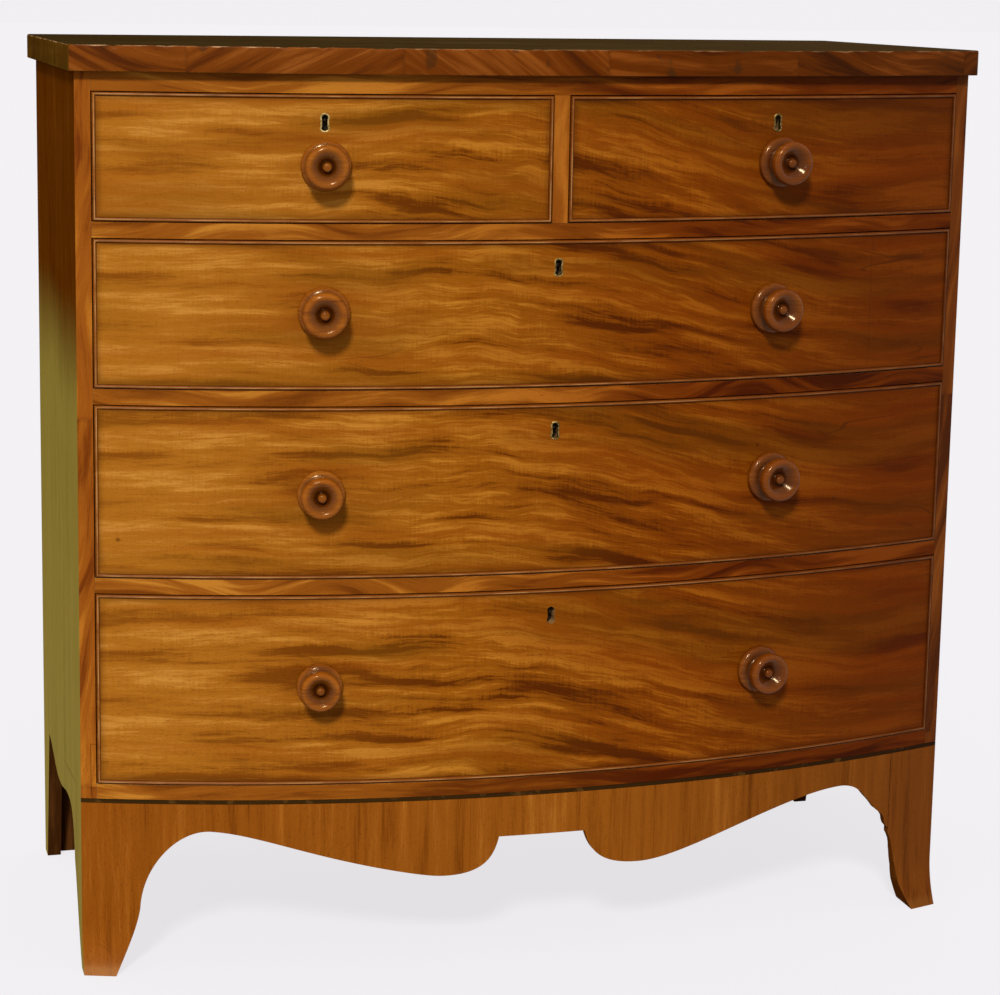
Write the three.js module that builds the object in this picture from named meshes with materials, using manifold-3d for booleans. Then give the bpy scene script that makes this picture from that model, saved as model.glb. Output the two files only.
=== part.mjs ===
// A bow front chest of drawers: two short drawers over three long ones, with turned knobs,
// cockbeaded curved fronts, dovetailed drawer boxes and a fretted apron between splayed feet.
// Millimetres, +Z up. The front faces -Y. The origin is on the floor, at the middle of the
// space that the whole chest takes up.

import * as THREE from 'three';
import { mergeVertices } from 'three/addons/utils/BufferGeometryUtils.js';
import Module from 'manifold-3d';

const wasm = await Module();
wasm.setup();

// Carcase, from the floor up
const carcaseWidth = 1050;
const sideDepth = 414;
const bowRise = 81;
const footHeight = 199.7;
const stringingHeight = 4.8;
const stringingDepth = 3;
const bottomThickness = 17.2;
const bottomOpeningHeight = 220.8;
const thirdOpeningHeight = 195.6;
const secondOpeningHeight = 166.3;
const topOpeningHeight = 141.2;
const bladeHeight = 17.4;
const bladeBackReach = 55;
const topRailHeight = 20.5;
const sideThickness = 16.8;
const dustboardThickness = 8;
const partitionWidth = 17.6;
const backThickness = 12;
const backRebate = 8;
const backBoardCount = 5;
const backGrooveWidth = 3;
const backGrooveDepth = 2;

// Top board
const topThickness = 29;
const topSideOverhang = 7.8;
const topFrontOverhang = 10.8;
const topBackOverhang = 33;
const topCornerRadius = 5;
const topArris = 1.2;

// Housings that hold the shelves of the carcase in its sides
const housingDepth = 7;
const housingStop = 16;

// Apron and feet
const apronThickness = 10;
const mitreDepth = 9;
const apronCrestDepth = 30.7;
const apronDropDepth = 91.2;
const apronNotchDepth = 47.7;
const apronCrestInset = 142;
const apronDropReach = 118;
const apronNotchHalfWidth = 50;
const toeWidth = 35;
const ankleWidth = 64;
const ankleHeightShare = 0.38;
const splay = 17;
const splayHeight = 58;
const splayLevelShares = [0, 0.14, 0.3, 0.48, 0.7, 1];
const splayPower = 2.1;
const footSwell = 17;
const footSwellHeight = 84;
const notchToDropShares = [[0.09, 0.55], [0.265, 1]];
const dropToCrestShares = [[0.215, 0], [0.687, 1]];
const crestToAnkleShares = [[0.46, 0], [0.97, 0.45]];
const ankleToToeShares = [[0.12, 0.3], [0.42, 0.6]];

// Lower edge of each side board
const sideFrontCrestDepth = 34.5;
const sideDropDepth = 47.3;
const sideDropShare = 0.575;
const sideFrontCrestReach = 122;
const sideAnkleReach = 68;
const sideAnkleHeightShare = 0.54;
const sideToeReach = 5;
const sideRearCrestDepth = 24.2;
const sideRearCrestInset = 66;
const sideRearFootWidth = 26;
const sideToeShares = [[0.33, 0.25], [0.6, 0.75]];
const sideAnkleShares = [[0.08, 0.45], [0.2, 1]];
const sideSlopeShares = [[0.45, 0], [0.5, 1]];
const sideRearSlopeShares = [[0.35, 0], [0.55, 0.8]];

// Rear foot brackets
const bracketWidth = 88;
const bracketThickness = 12;
const bracketToeWidth = 24;
const bracketCurveShares = [[0.12, 0.62], [0.6, 0.95]];

// Drawer boxes
const drawerGap = 1.2;
const runnerGap = 0.3;
const frontThickness = 24;
const drawerSideThickness = 10;
const drawerSideDrop = 4;
const drawerBackThickness = 10;
const drawerBackDrop = 9;
const drawerBackGap = 8;
const drawerBottomThickness = 7;
const drawerBottomLift = 6;
const drawerGrooveDepth = 5;
const tailLap = 12.4;
const tailPitch = 46;
const fewestTails = 2;
const tailFlare = 2.2;
const tailWidthShare = 0.62;
const rearTailWidthShare = 0.7;

// Cockbeads round the drawer fronts
const cockbeadWidth = 3.8;
const cockbeadProud = 2.4;
const cockbeadDepth = 8;
const cockbeadNoseShares = [[0, 0.4], [0.5, 1], [1, 0.4]];

// Knobs, as heights out from the drawer front and radii
const knobReach = 263;
const knobLength = 33;
const knobFlangeRadius = 29;
const knobNeckRadius = 16.5;
const knobHeadRadius = 25.2;
const knobButtonRadius = 5.6;
const knobPegRadius = 7;
const knobPegLength = 17;

const knobFlangeShares = [0.93, 0.9];
const flangeHeightShares = [0.07, 0.15, 0.26];
const neckHeightShares = [0.34, 0.47];
const knobHeadShares = [0.93, 0.88, 0.7, 0.42];
const headHeightShares = [0.6, 0.84, 0.93, 0.78];
const knobButtonShare = 0.62;
const buttonHeightShares = [0.76, 0.86, 0.89];

// Height of each knob above the lower edge of its opening, from the top drawers down
const topKnobLift = 67;
const secondKnobLift = 87;
const thirdKnobLift = 104;
const bottomKnobLift = 116;

// Locks and keyholes
const keyholeReach = 262;
const keyholeDrop = 27;
const keyholeRadius = 3.1;
const keyholeSlotWidth = 2.9;
const keyholeSlotLength = 8.5;
const lockWidth = 56;
const lockHeight = 38;
const lockDepth = 10;
const lockPlateWidth = 74;
const lockPlateThickness = 1.6;
const lockTopInset = 6;
const lockPinRadius = 1.5;
const lockPinSetback = 5;

// Clearance between glued faces, overrun of cuts, and how finely curves are drawn
const seam = 0.3;
const overrun = 20;
const longBowSegments = 16;
const shortBowSegments = 8;
const partitionBowSegments = 2;
const curveSegments = 8;
const cornerSegments = 3;
const knobSides = 16;
const keyholeSides = 10;
const pinSides = 8;
const mergeTolerance = 0.001;

// Levels worked out from the sizes above
const halfWidth = carcaseWidth / 2;
const innerHalf = halfWidth - sideThickness;
const bottomBase = footHeight + stringingHeight;
const bottomOpeningBase = bottomBase + bottomThickness;
const thirdOpeningBase = bottomOpeningBase + bottomOpeningHeight + bladeHeight;
const secondOpeningBase = thirdOpeningBase + thirdOpeningHeight + bladeHeight;
const topOpeningBase = secondOpeningBase + secondOpeningHeight + bladeHeight;
const topRailBase = topOpeningBase + topOpeningHeight;
const carcaseTop = topRailBase + topRailHeight;
const backFace = sideDepth - backThickness;
const drawerBackEnd = backFace - drawerBackGap;
const bowRadius = (halfWidth ** 2 + bowRise ** 2) / (2 * bowRise);
const topBackReach = sideDepth + topBackOverhang;

// Where the bowed front lies at a distance x from the middle
function bowY(x) {
  return bowRadius - bowRise - Math.sqrt(bowRadius ** 2 - x ** 2);
}

// Turn of the bowed front at a distance x from the middle
function bowTurn(x) {
  return Math.asin(x / bowRadius);
}

function point(x, y) {
  return new THREE.Vector2(x, y);
}

// Geometry to solid and back
function toSolid(geometry) {
  const bare = new THREE.BufferGeometry();
  bare.setAttribute('position', geometry.getAttribute('position'));
  if (geometry.index) bare.setIndex(geometry.index);
  const merged = mergeVertices(bare, mergeTolerance);
  return new wasm.Manifold(new wasm.Mesh({
    numProp: 3,
    vertProperties: new Float32Array(merged.getAttribute('position').array),
    triVerts: new Uint32Array(merged.index.array),
  }));
}

function toGeometry(solid) {
  const mesh = solid.getMesh();
  const geometry = new THREE.BufferGeometry();
  geometry.setAttribute('position', new THREE.BufferAttribute(mesh.vertProperties, mesh.numProp));
  geometry.setIndex(new THREE.BufferAttribute(mesh.triVerts, 1));
  geometry.computeVertexNormals();
  return geometry;
}

// An outline in plan, raised from one level to another
function planPrism(outline, low, high) {
  const shape = new THREE.Shape(outline);
  const geometry = new THREE.ExtrudeGeometry(shape, { depth: high - low, bevelEnabled: false });
  return toSolid(geometry.translate(0, 0, low));
}

// An outline seen from the front (x, z), carried back from one y to another
function frontPrism(shape, near, far) {
  const options = { depth: far - near, bevelEnabled: false, curveSegments };
  const geometry = new THREE.ExtrudeGeometry(shape, options);
  return toSolid(geometry.rotateX(Math.PI / 2).translate(0, far, 0));
}

// An outline seen from the side (y, z), carried across from one x to another
function sidePrism(shape, left, right) {
  const options = { depth: right - left, bevelEnabled: false, curveSegments };
  const geometry = new THREE.ExtrudeGeometry(shape, options);
  const across = new THREE.Matrix4().makeBasis(
    new THREE.Vector3(0, 1, 0), new THREE.Vector3(0, 0, 1), new THREE.Vector3(1, 0, 0));
  return toSolid(geometry.applyMatrix4(across).translate(left, 0, 0));
}

function boxGeometry(x0, x1, y0, y1, z0, z1) {
  const geometry = new THREE.BoxGeometry(x1 - x0, y1 - y0, z1 - z0);
  return geometry.translate((x0 + x1) / 2, (y0 + y1) / 2, (z0 + z1) / 2);
}

function block(...extents) {
  return toSolid(boxGeometry(...extents));
}

// Points on the bowed front from one x to another, set back by a depth
function bowPoints(from, to, setback, segments) {
  const points = [];
  for (let i = 0; i <= segments; i += 1) {
    const x = THREE.MathUtils.lerp(from, to, i / segments);
    points.push(point(x, bowY(x) + setback));
  }
  return points;
}

// A band that follows the bow between two setbacks
function bowBand(left, right, near, far, low, high, segments) {
  const outline = [
    ...bowPoints(left, right, near, segments),
    ...bowPoints(right, left, far, segments),
  ];
  return planPrism(outline, low, high);
}

// A board with a bowed front edge and a straight back edge
function bowBoard(left, right, setback, back, low, high, segments) {
  const outline = [...bowPoints(left, right, setback, segments), point(right, back), point(left, back)];
  return planPrism(outline, low, high);
}

// A body through outlines in plan, one at each height, closed at both ends
function loft(outlines, heights) {
  const rings = outlines.map((ring) => (THREE.ShapeUtils.area(ring) < 0 ? [...ring].reverse() : ring));
  const count = rings[0].length;
  const positions = [];
  const indices = [];
  rings.forEach((ring, level) => {
    ring.forEach((corner) => positions.push(corner.x, corner.y, heights[level]));
  });
  const last = (rings.length - 1) * count;
  for (const [a, b, c] of THREE.ShapeUtils.triangulateShape(rings[0], [])) indices.push(c, b, a);
  for (const [a, b, c] of THREE.ShapeUtils.triangulateShape(rings[rings.length - 1], [])) {
    indices.push(last + a, last + b, last + c);
  }
  for (let level = 0; level < last; level += count) {
    for (let i = 0; i < count; i += 1) {
      const next = (i + 1) % count;
      indices.push(level + i, level + next, level + count + next);
      indices.push(level + i, level + count + next, level + count + i);
    }
  }
  const geometry = new THREE.BufferGeometry();
  geometry.setAttribute('position', new THREE.Float32BufferAttribute(positions, 3));
  geometry.setIndex(indices);
  return toSolid(geometry);
}

// Carries a path on in a curve, whose two handles are shares of the way to its end
function bend(path, x, y, [[ax, ay], [bx, by]]) {
  const from = path.currentPoint.clone();
  const across = x - from.x;
  const up = y - from.y;
  path.bezierCurveTo(from.x + ax * across, from.y + ay * up, from.x + bx * across, from.y + by * up, x, y);
}

// The same curve drawn from its other end
function turned([[ax, ay], [bx, by]]) {
  return [[1 - bx, 1 - by], [1 - ax, 1 - ay]];
}

// Sets a geometry that faces -Y against the bowed front, square to it
function onBow(geometry, x, z) {
  return geometry.rotateZ(bowTurn(x)).translate(x, bowY(x), z);
}

// Both side walls of the carcase hold a shelf by a tongue on each of its ends
function tongues(near, far, low, high) {
  const end = innerHalf - seam + housingDepth;
  const root = innerHalf - seam - housingDepth;
  return block(-end, -root, near, far, low, high).add(block(root, end, near, far, low, high));
}

function housing(near, far, low, high) {
  const reach = innerHalf + housingDepth;
  return block(-reach, reach, near - seam, far + seam, low - seam, high + seam);
}

const shelves = [
  { near: housingStop, far: backFace - seam, low: bottomBase, high: bottomOpeningBase },
  ...[thirdOpeningBase, secondOpeningBase, topOpeningBase].flatMap((level) => [
    { near: housingStop, far: bladeBackReach, low: level - bladeHeight, high: level },
    { near: bladeBackReach + seam, far: backFace - seam, low: level - dustboardThickness, high: level },
  ]),
  { near: housingStop, far: bladeBackReach, low: topRailBase, high: carcaseTop },
];

// A shelf whose front edge shows on the bowed front
function bowedShelf({ near, far, low, high }) {
  const reach = innerHalf - seam;
  const board = bowBoard(-reach, reach, 0, far, low, high, longBowSegments);
  return board.add(tongues(near, far, low, high));
}

function plainShelf({ near, far, low, high }) {
  const reach = innerHalf - seam;
  return block(-reach, reach, near, far, low, high).add(tongues(near, far, low, high));
}

// Forward splay of the feet at a height above the floor
function splayAt(height) {
  return splay * Math.max(0, 1 - height / splayHeight) ** splayPower;
}

// Distance of the inner face of the front feet behind the bow, which grows towards the floor
function footBackAt(height) {
  return apronThickness + footSwell * Math.max(0, 1 - height / footSwellHeight);
}

// Where the mitre between apron and side ends, on the inner face of the side
function mitreY(height) {
  return bowY(innerHalf) + mitreDepth - splayAt(height);
}

const footLevels = [...splayLevelShares.map((share) => share * splayHeight), footSwellHeight];

// The space that the stringing takes at the foot of the carcase, with its clearance
function stringingGroove() {
  const reach = halfWidth + overrun;
  const low = footHeight - seam;
  return bowBand(-reach, reach, -overrun, stringingDepth + seam, low, bottomBase, longBowSegments);
}

function stringing() {
  return bowBand(
    -halfWidth, halfWidth, 0, stringingDepth, footHeight, bottomBase - seam, longBowSegments);
}

// Lower edge of a side board, from the front of its toe to the back of its rear foot
function sideOutline() {
  const frontCrest = footHeight - sideFrontCrestDepth;
  const rearCrest = footHeight - sideRearCrestDepth;
  const drop = footHeight - sideDropDepth;
  const front = -splay - overrun;
  const top = carcaseTop;
  const shape = new THREE.Shape();
  shape.moveTo(front, top);
  shape.lineTo(front, 0);
  shape.lineTo(sideToeReach, 0);
  bend(shape, sideAnkleReach, sideAnkleHeightShare * footHeight, turned(sideToeShares));
  bend(shape, sideFrontCrestReach, frontCrest, sideAnkleShares);
  bend(shape, sideDropShare * sideDepth, drop, sideSlopeShares);
  bend(shape, sideDepth - sideRearCrestInset, rearCrest, sideRearSlopeShares);
  shape.lineTo(sideDepth - sideRearFootWidth, 0);
  shape.lineTo(sideDepth + overrun, 0);
  shape.lineTo(sideDepth + overrun, top);
  return shape;
}

// Plan of a side board. Below the stringing its front end is mitred to meet the apron
function sidePlan(hand, frontOuter, frontInner) {
  return [
    point(hand * halfWidth, frontOuter),
    point(hand * innerHalf, frontInner),
    point(hand * innerHalf, sideDepth),
    point(hand * halfWidth, sideDepth),
  ];
}

function sideBoard(hand) {
  const heights = [...footLevels, bottomBase];
  const foot = loft(heights.map((height) => (
    sidePlan(hand, seam - splayAt(height), seam + mitreY(height))
  )), heights);
  const wall = planPrism(sidePlan(hand, 0, bowY(innerHalf)), bottomBase, carcaseTop);
  const outline = sidePrism(sideOutline(), -halfWidth - overrun, halfWidth + overrun);
  const rebateReach = innerHalf + backRebate;
  const rebate = block(
    -rebateReach, rebateReach, backFace - seam, sideDepth + overrun, bottomBase - seam, carcaseTop + overrun);
  const cuts = shelves.map(({ near, far, low, high }) => housing(near, far, low, high));
  const board = foot.add(wall).intersect(outline).subtract(stringingGroove()).subtract(rebate);
  return cuts.reduce((rest, cut) => rest.subtract(cut), board);
}

// Lower edge of the apron, from its middle out to the toe of a foot
function apronHalfEdge() {
  const path = new THREE.Path();
  path.moveTo(0, footHeight - apronNotchDepth);
  path.lineTo(apronNotchHalfWidth, footHeight - apronNotchDepth);
  bend(path, apronDropReach, footHeight - apronDropDepth, notchToDropShares);
  bend(path, halfWidth - apronCrestInset, footHeight - apronCrestDepth, dropToCrestShares);
  bend(path, halfWidth - ankleWidth, ankleHeightShare * footHeight, crestToAnkleShares);
  bend(path, halfWidth - toeWidth, 0, ankleToToeShares);
  return path.getPoints(curveSegments);
}

function apronPlan(height) {
  const inner = innerHalf - seam;
  return [
    ...bowPoints(-halfWidth, halfWidth, -splayAt(height), longBowSegments),
    point(innerHalf, mitreY(height)),
    point(inner, mitreY(height)),
    ...bowPoints(inner, -inner, footBackAt(height), longBowSegments),
    point(-inner, mitreY(height)),
    point(-innerHalf, mitreY(height)),
  ];
}

function apron() {
  const heights = [...footLevels, bottomBase - seam];
  const half = apronHalfEdge();
  const mirrored = half.slice(1).reverse().map((corner) => point(-corner.x, corner.y));
  const side = halfWidth + overrun;
  const outline = new THREE.Shape([
    point(-side, bottomBase), point(-side, 0), ...mirrored, ...half, point(side, 0), point(side, bottomBase),
  ]);
  const board = loft(heights.map(apronPlan), heights);
  const fret = frontPrism(outline, -bowRise - splay - overrun, apronThickness + footSwell + overrun);
  return board.intersect(fret).subtract(stringingGroove());
}

function rearBracket(hand) {
  const end = hand * (innerHalf - seam);
  const top = bottomBase - seam;
  const shape = new THREE.Shape();
  shape.moveTo(end, 0);
  shape.lineTo(end, top);
  shape.lineTo(hand * (innerHalf - bracketWidth), top);
  bend(shape, hand * (innerHalf - bracketToeWidth), 0, turned(bracketCurveShares));
  return frontPrism(shape, sideDepth - bracketThickness, sideDepth);
}

// The back is made of upright boards, whose joints show as shallow grooves
function backPanel() {
  const reach = innerHalf + backRebate - seam;
  const panel = block(-reach, reach, backFace, sideDepth, bottomBase, carcaseTop - seam);
  const boardWidth = (2 * reach) / backBoardCount;
  let grooved = panel;
  for (let i = 1; i < backBoardCount; i += 1) {
    const x = i * boardWidth - reach;
    grooved = grooved.subtract(block(
      x - backGrooveWidth / 2, x + backGrooveWidth / 2, sideDepth - backGrooveDepth, sideDepth + overrun,
      bottomBase - overrun, carcaseTop + overrun));
  }
  return grooved;
}

function centrePartition() {
  const reach = partitionWidth / 2;
  return bowBoard(
    -reach, reach, 0, backFace - seam, topOpeningBase + seam, topRailBase - seam,
    partitionBowSegments);
}

// The top overhangs all round, and its front edge runs parallel to the bow
function topBoard() {
  const reach = halfWidth + topSideOverhang;
  const stretch = reach / halfWidth;
  const near = reach - topCornerRadius;
  const frontY = bowY(halfWidth) - topFrontOverhang;
  const nearY = bowY(near / stretch) - topFrontOverhang;
  const shape = new THREE.Shape();
  shape.moveTo(-near, nearY);
  for (const { x, y } of bowPoints(-halfWidth, halfWidth, -topFrontOverhang, longBowSegments).slice(1, -1)) {
    shape.lineTo(x * stretch, y);
  }
  shape.lineTo(near, nearY);
  shape.quadraticCurveTo(reach, frontY, reach, frontY + topCornerRadius);
  shape.lineTo(reach, topBackReach - topCornerRadius);
  shape.quadraticCurveTo(reach, topBackReach, near, topBackReach);
  shape.lineTo(-near, topBackReach);
  shape.quadraticCurveTo(-reach, topBackReach, -reach, topBackReach - topCornerRadius);
  shape.lineTo(-reach, frontY + topCornerRadius);
  shape.quadraticCurveTo(-reach, frontY, -near, nearY);
  const geometry = new THREE.ExtrudeGeometry(shape, {
    depth: topThickness - 2 * topArris,
    bevelThickness: topArris,
    bevelSize: topArris,
    bevelOffset: -topArris,
    bevelSegments: 1,
    curveSegments: cornerSegments,
  });
  return toSolid(geometry.translate(0, 0, carcaseTop + seam + topArris));
}

// Sizes of a drawer box that its pieces share
function drawerLevels({ base, height }) {
  const sideLow = base + runnerGap;
  const bottomLow = sideLow + drawerBottomLift;
  return {
    frontLow: base + drawerGap,
    frontHigh: base + height - drawerGap,
    sideLow,
    sideHigh: base + height - drawerSideDrop,
    bottomLow,
    bottomHigh: bottomLow + drawerBottomThickness,
    backHigh: base + height - drawerBackDrop,
  };
}

// Dovetails on one end of a drawer side, seen from the side. The tips of the tails lie at
// tipY and they narrow towards rootY, and run on past it by an overlap
function tailShapes(drawer, tipY, rootY, widthShare, grow) {
  const { sideLow, sideHigh } = drawerLevels(drawer);
  const count = Math.max(fewestTails, Math.round((sideHigh - sideLow) / tailPitch));
  const pitch = (sideHigh - sideLow) / count;
  const onward = Math.sign(rootY - tipY);
  const farY = rootY + onward * drawerGrooveDepth;
  const narrowing = tailFlare * (farY - tipY) / (rootY - tipY);
  const tip = (pitch * widthShare) / 2 + grow;
  const root = tip - narrowing;
  const shapes = [];
  for (let i = 0; i < count; i += 1) {
    const middle = sideLow + (i + 1 / 2) * pitch;
    shapes.push(new THREE.Shape([
      point(tipY - onward * grow, middle - tip), point(farY, middle - root),
      point(farY, middle + root), point(tipY - onward * grow, middle + tip),
    ]));
  }
  return shapes;
}

function tailBodies(drawer, ends, grow) {
  return ends.flatMap(({ outer, inner }) => {
    const left = Math.min(outer, inner) - grow;
    const right = Math.max(outer, inner) + grow;
    const frontTip = Math.max(bowY(outer), bowY(inner)) + tailLap;
    const frontRoot = frontTip + frontThickness - tailLap;
    const front = tailShapes(drawer, frontTip, frontRoot, tailWidthShare, grow);
    const rear = tailShapes(
      drawer, drawerBackEnd, drawerBackEnd - drawerBackThickness, rearTailWidthShare, grow);
    return [...front, ...rear].map((shape) => sidePrism(shape, left, right));
  });
}

function drawerEnds({ left, right }) {
  return {
    left: { outer: left, inner: left + drawerSideThickness },
    right: { outer: right, inner: right - drawerSideThickness },
  };
}

// The thin bottom board of a drawer, which slides in grooves in the front and sides
function drawerBase(drawer, grow = 0) {
  const { bottomLow, bottomHigh } = drawerLevels(drawer);
  const inset = drawerSideThickness - drawerGrooveDepth + seam - grow;
  const setback = frontThickness - drawerGrooveDepth + seam - grow;
  return bowBoard(
    drawer.left + inset, drawer.right - inset, setback, drawerBackEnd + grow,
    bottomLow - grow, bottomHigh + grow, drawer.segments);
}

function drawerSide(drawer, end) {
  const { sideLow, sideHigh } = drawerLevels(drawer);
  const left = Math.min(end.outer, end.inner);
  const right = Math.max(end.outer, end.inner);
  const front = Math.min(bowY(left), bowY(right));
  const board = block(
    left, right, front, drawerBackEnd - drawerBackThickness - seam, sideLow, sideHigh);
  const frontSpace = bowBand(
    drawer.left - overrun, drawer.right + overrun, -overrun, frontThickness + seam,
    sideLow - overrun, sideHigh + overrun, drawer.segments);
  const wall = board.subtract(frontSpace);
  const tailed = tailBodies(drawer, [end], 0).reduce((whole, tail) => whole.add(tail), wall);
  return tailed.subtract(drawerBase(drawer, seam));
}

function drawerBack(drawer) {
  const { bottomHigh, backHigh } = drawerLevels(drawer);
  const ends = Object.values(drawerEnds(drawer));
  const board = block(
    drawer.left, drawer.right, drawerBackEnd - drawerBackThickness, drawerBackEnd,
    bottomHigh + seam, backHigh);
  return tailBodies(drawer, ends, seam).reduce((rest, tail) => rest.subtract(tail), board);
}

// Turned knob, as heights out from the drawer front and radii
function knobProfile() {
  const flange = knobFlangeRadius;
  const head = knobHeadRadius;
  const neck = knobNeckRadius;
  const button = knobButtonRadius;
  const out = (share) => share * knobLength;
  return [
    point(0, -knobPegLength), point(knobPegRadius, -knobPegLength), point(knobPegRadius, seam),
    point(knobFlangeShares[0] * flange, seam), point(flange, out(flangeHeightShares[0])),
    point(flange, out(flangeHeightShares[1])),
    point(knobFlangeShares[1] * flange, out(flangeHeightShares[2])),
    point(neck, out(neckHeightShares[0])), point(neck, out(neckHeightShares[1])),
    point(knobHeadShares[0] * head, out(headHeightShares[0])), point(head, out(headHeightShares[1])),
    point(knobHeadShares[1] * head, out(1)), point(knobHeadShares[2] * head, out(headHeightShares[2])),
    point(knobHeadShares[3] * head, out(headHeightShares[3])), point(button, out(buttonHeightShares[0])),
    point(knobButtonShare * button, out(buttonHeightShares[1])), point(0, out(buttonHeightShares[2])),
  ];
}

function knobGeometry(x, z) {
  const geometry = new THREE.LatheGeometry(knobProfile(), knobSides).rotateX(Math.PI);
  return toSolid(onBow(geometry, x, z));
}

function pegHole(x, z) {
  const radius = (knobPegRadius + seam) / Math.cos(Math.PI / knobSides);
  const depth = knobPegLength + seam + overrun;
  const geometry = new THREE.CylinderGeometry(radius, radius, depth, knobSides);
  return toSolid(onBow(geometry.translate(0, depth / 2 - overrun, 0), x, z));
}

// Where the lock of a drawer sits, measured square to the bowed front
function lockPlace({ keyX, base, height, segments, left, right }) {
  const top = base + height - drawerGap - lockTopInset;
  const facet = (right - left) / segments;
  const hollow = (lockPlateWidth / 2 + facet / 2) ** 2 / (2 * bowRadius);
  return {
    top,
    low: top - lockHeight,
    keyZ: base + height - drawerGap - keyholeDrop,
    inner: frontThickness * Math.cos(bowTurn(keyX)),
    hollow,
  };
}

// The lock case is let into the inner face of the drawer front, behind its plate
function lock(drawer) {
  const { top, low, keyZ, inner, hollow } = lockPlace(drawer);
  const caseFront = inner - lockDepth;
  const plate = inner + hollow + seam;
  const pinLength = caseFront - lockPinSetback + seam;
  const pin = new THREE.CylinderGeometry(lockPinRadius, lockPinRadius, pinLength, pinSides);
  pin.translate(0, lockPinSetback + pinLength / 2, keyZ);
  const body = toSolid(boxGeometry(-lockWidth / 2, lockWidth / 2, caseFront, plate + seam, low, top));
  const cover = toSolid(boxGeometry(
    -lockPlateWidth / 2, lockPlateWidth / 2, plate, plate + lockPlateThickness, low, top));
  const whole = body.add(cover).add(toSolid(pin));
  return toSolid(onBow(toGeometry(whole), drawer.keyX, 0));
}

function lockCuts(drawer) {
  const { top, low, keyZ, inner } = lockPlace(drawer);
  const caseFront = inner - lockDepth - seam;
  const reach = lockWidth / 2 + seam;
  const mortise = boxGeometry(-reach, reach, caseFront, inner + overrun, low - seam, top + seam);
  const depth = caseFront + overrun + seam;
  const hole = new THREE.CylinderGeometry(keyholeRadius, keyholeRadius, depth, keyholeSides);
  hole.translate(0, depth / 2 - overrun, keyZ);
  const slot = boxGeometry(
    -keyholeSlotWidth / 2, keyholeSlotWidth / 2, -overrun, depth - overrun, keyZ - keyholeSlotLength, keyZ);
  return [mortise, hole, slot].map((geometry) => toSolid(onBow(geometry, drawer.keyX, 0)));
}

// The drawer front is rebated all round for its cockbead and socketed for the tails
function drawerFront(drawer) {
  const { frontLow, frontHigh } = drawerLevels(drawer);
  const { left, right, segments } = drawer;
  const inset = cockbeadWidth + seam;
  const panel = bowBand(left, right, 0, frontThickness, frontLow, frontHigh, segments);
  const face = bowBand(
    left, right, -overrun, cockbeadDepth + seam, frontLow - overrun, frontHigh + overrun, segments);
  const field = block(
    left + inset, right - inset, -bowRise - 2 * overrun, frontThickness + overrun,
    frontLow + inset, frontHigh - inset);
  const cuts = [
    face.subtract(field),
    drawerBase(drawer, seam),
    ...tailBodies(drawer, Object.values(drawerEnds(drawer)), seam),
    ...drawer.knobXs.map((x) => pegHole(x, drawer.base + drawer.knobLift)),
    ...lockCuts(drawer),
  ];
  return cuts.reduce((rest, cut) => rest.subtract(cut), panel);
}

// A cockbead frames the drawer front. Its section has a rounded nose that stands proud,
// and follows the bow along the top and bottom, with mitred corners
function cockbead(drawer) {
  const { frontLow, frontHigh } = drawerLevels(drawer);
  const { left, right, segments } = drawer;
  const nose = cockbeadNoseShares.map(([across, proud]) => (
    { inset: across * cockbeadWidth, setback: -proud * cockbeadProud }));
  const section = [
    { inset: 0, setback: cockbeadDepth }, ...nose, { inset: cockbeadWidth, setback: cockbeadDepth },
  ];
  const stations = [];
  for (let i = 0; i <= segments; i += 1) stations.push({ along: i / segments, top: false });
  for (let i = segments; i >= 0; i -= 1) stations.push({ along: i / segments, top: true });
  const positions = [];
  for (const { along, top } of stations) {
    for (const { inset, setback } of section) {
      const x = THREE.MathUtils.lerp(left + inset, right - inset, along);
      positions.push(x, bowY(x) + setback, top ? frontHigh - inset : frontLow + inset);
    }
  }
  const indices = [];
  const size = section.length;
  for (let station = 0; station < stations.length; station += 1) {
    const next = (station + 1) % stations.length;
    for (let i = 0; i < size; i += 1) {
      const j = (i + 1) % size;
      const corners = [station * size + i, station * size + j, next * size + j, next * size + i];
      indices.push(corners[0], corners[2], corners[1], corners[0], corners[3], corners[2]);
    }
  }
  const geometry = new THREE.BufferGeometry();
  geometry.setAttribute('position', new THREE.Float32BufferAttribute(positions, 3));
  geometry.setIndex(indices);
  return toSolid(geometry);
}

// Colours and finishes
function finish(color, roughness, metalness = 0) {
  return new THREE.MeshStandardMaterial({ color, roughness, metalness });
}

const frontColour = 0xa86420;
const railColour = 0x9c5a20;
const sideColour = 0x8a4c1c;
const topColour = 0x6b3c18;
const apronColour = 0x9a5a22;
const beadColour = 0x7a3c14;
const knobColour = 0x7c3412;
const inlayColour = 0x2a1a08;
const pineColour = 0xb98d54;
const oakColour = 0xa07a48;
const ironColour = 0x8a7440;
const polishRoughness = 0.32;
const bareRoughness = 0.75;
const metalRoughness = 0.42;

const chest = new THREE.Group();

function place(name, solid, material) {
  const mesh = new THREE.Mesh(toGeometry(solid), material);
  mesh.name = name;
  chest.add(mesh);
}

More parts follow.
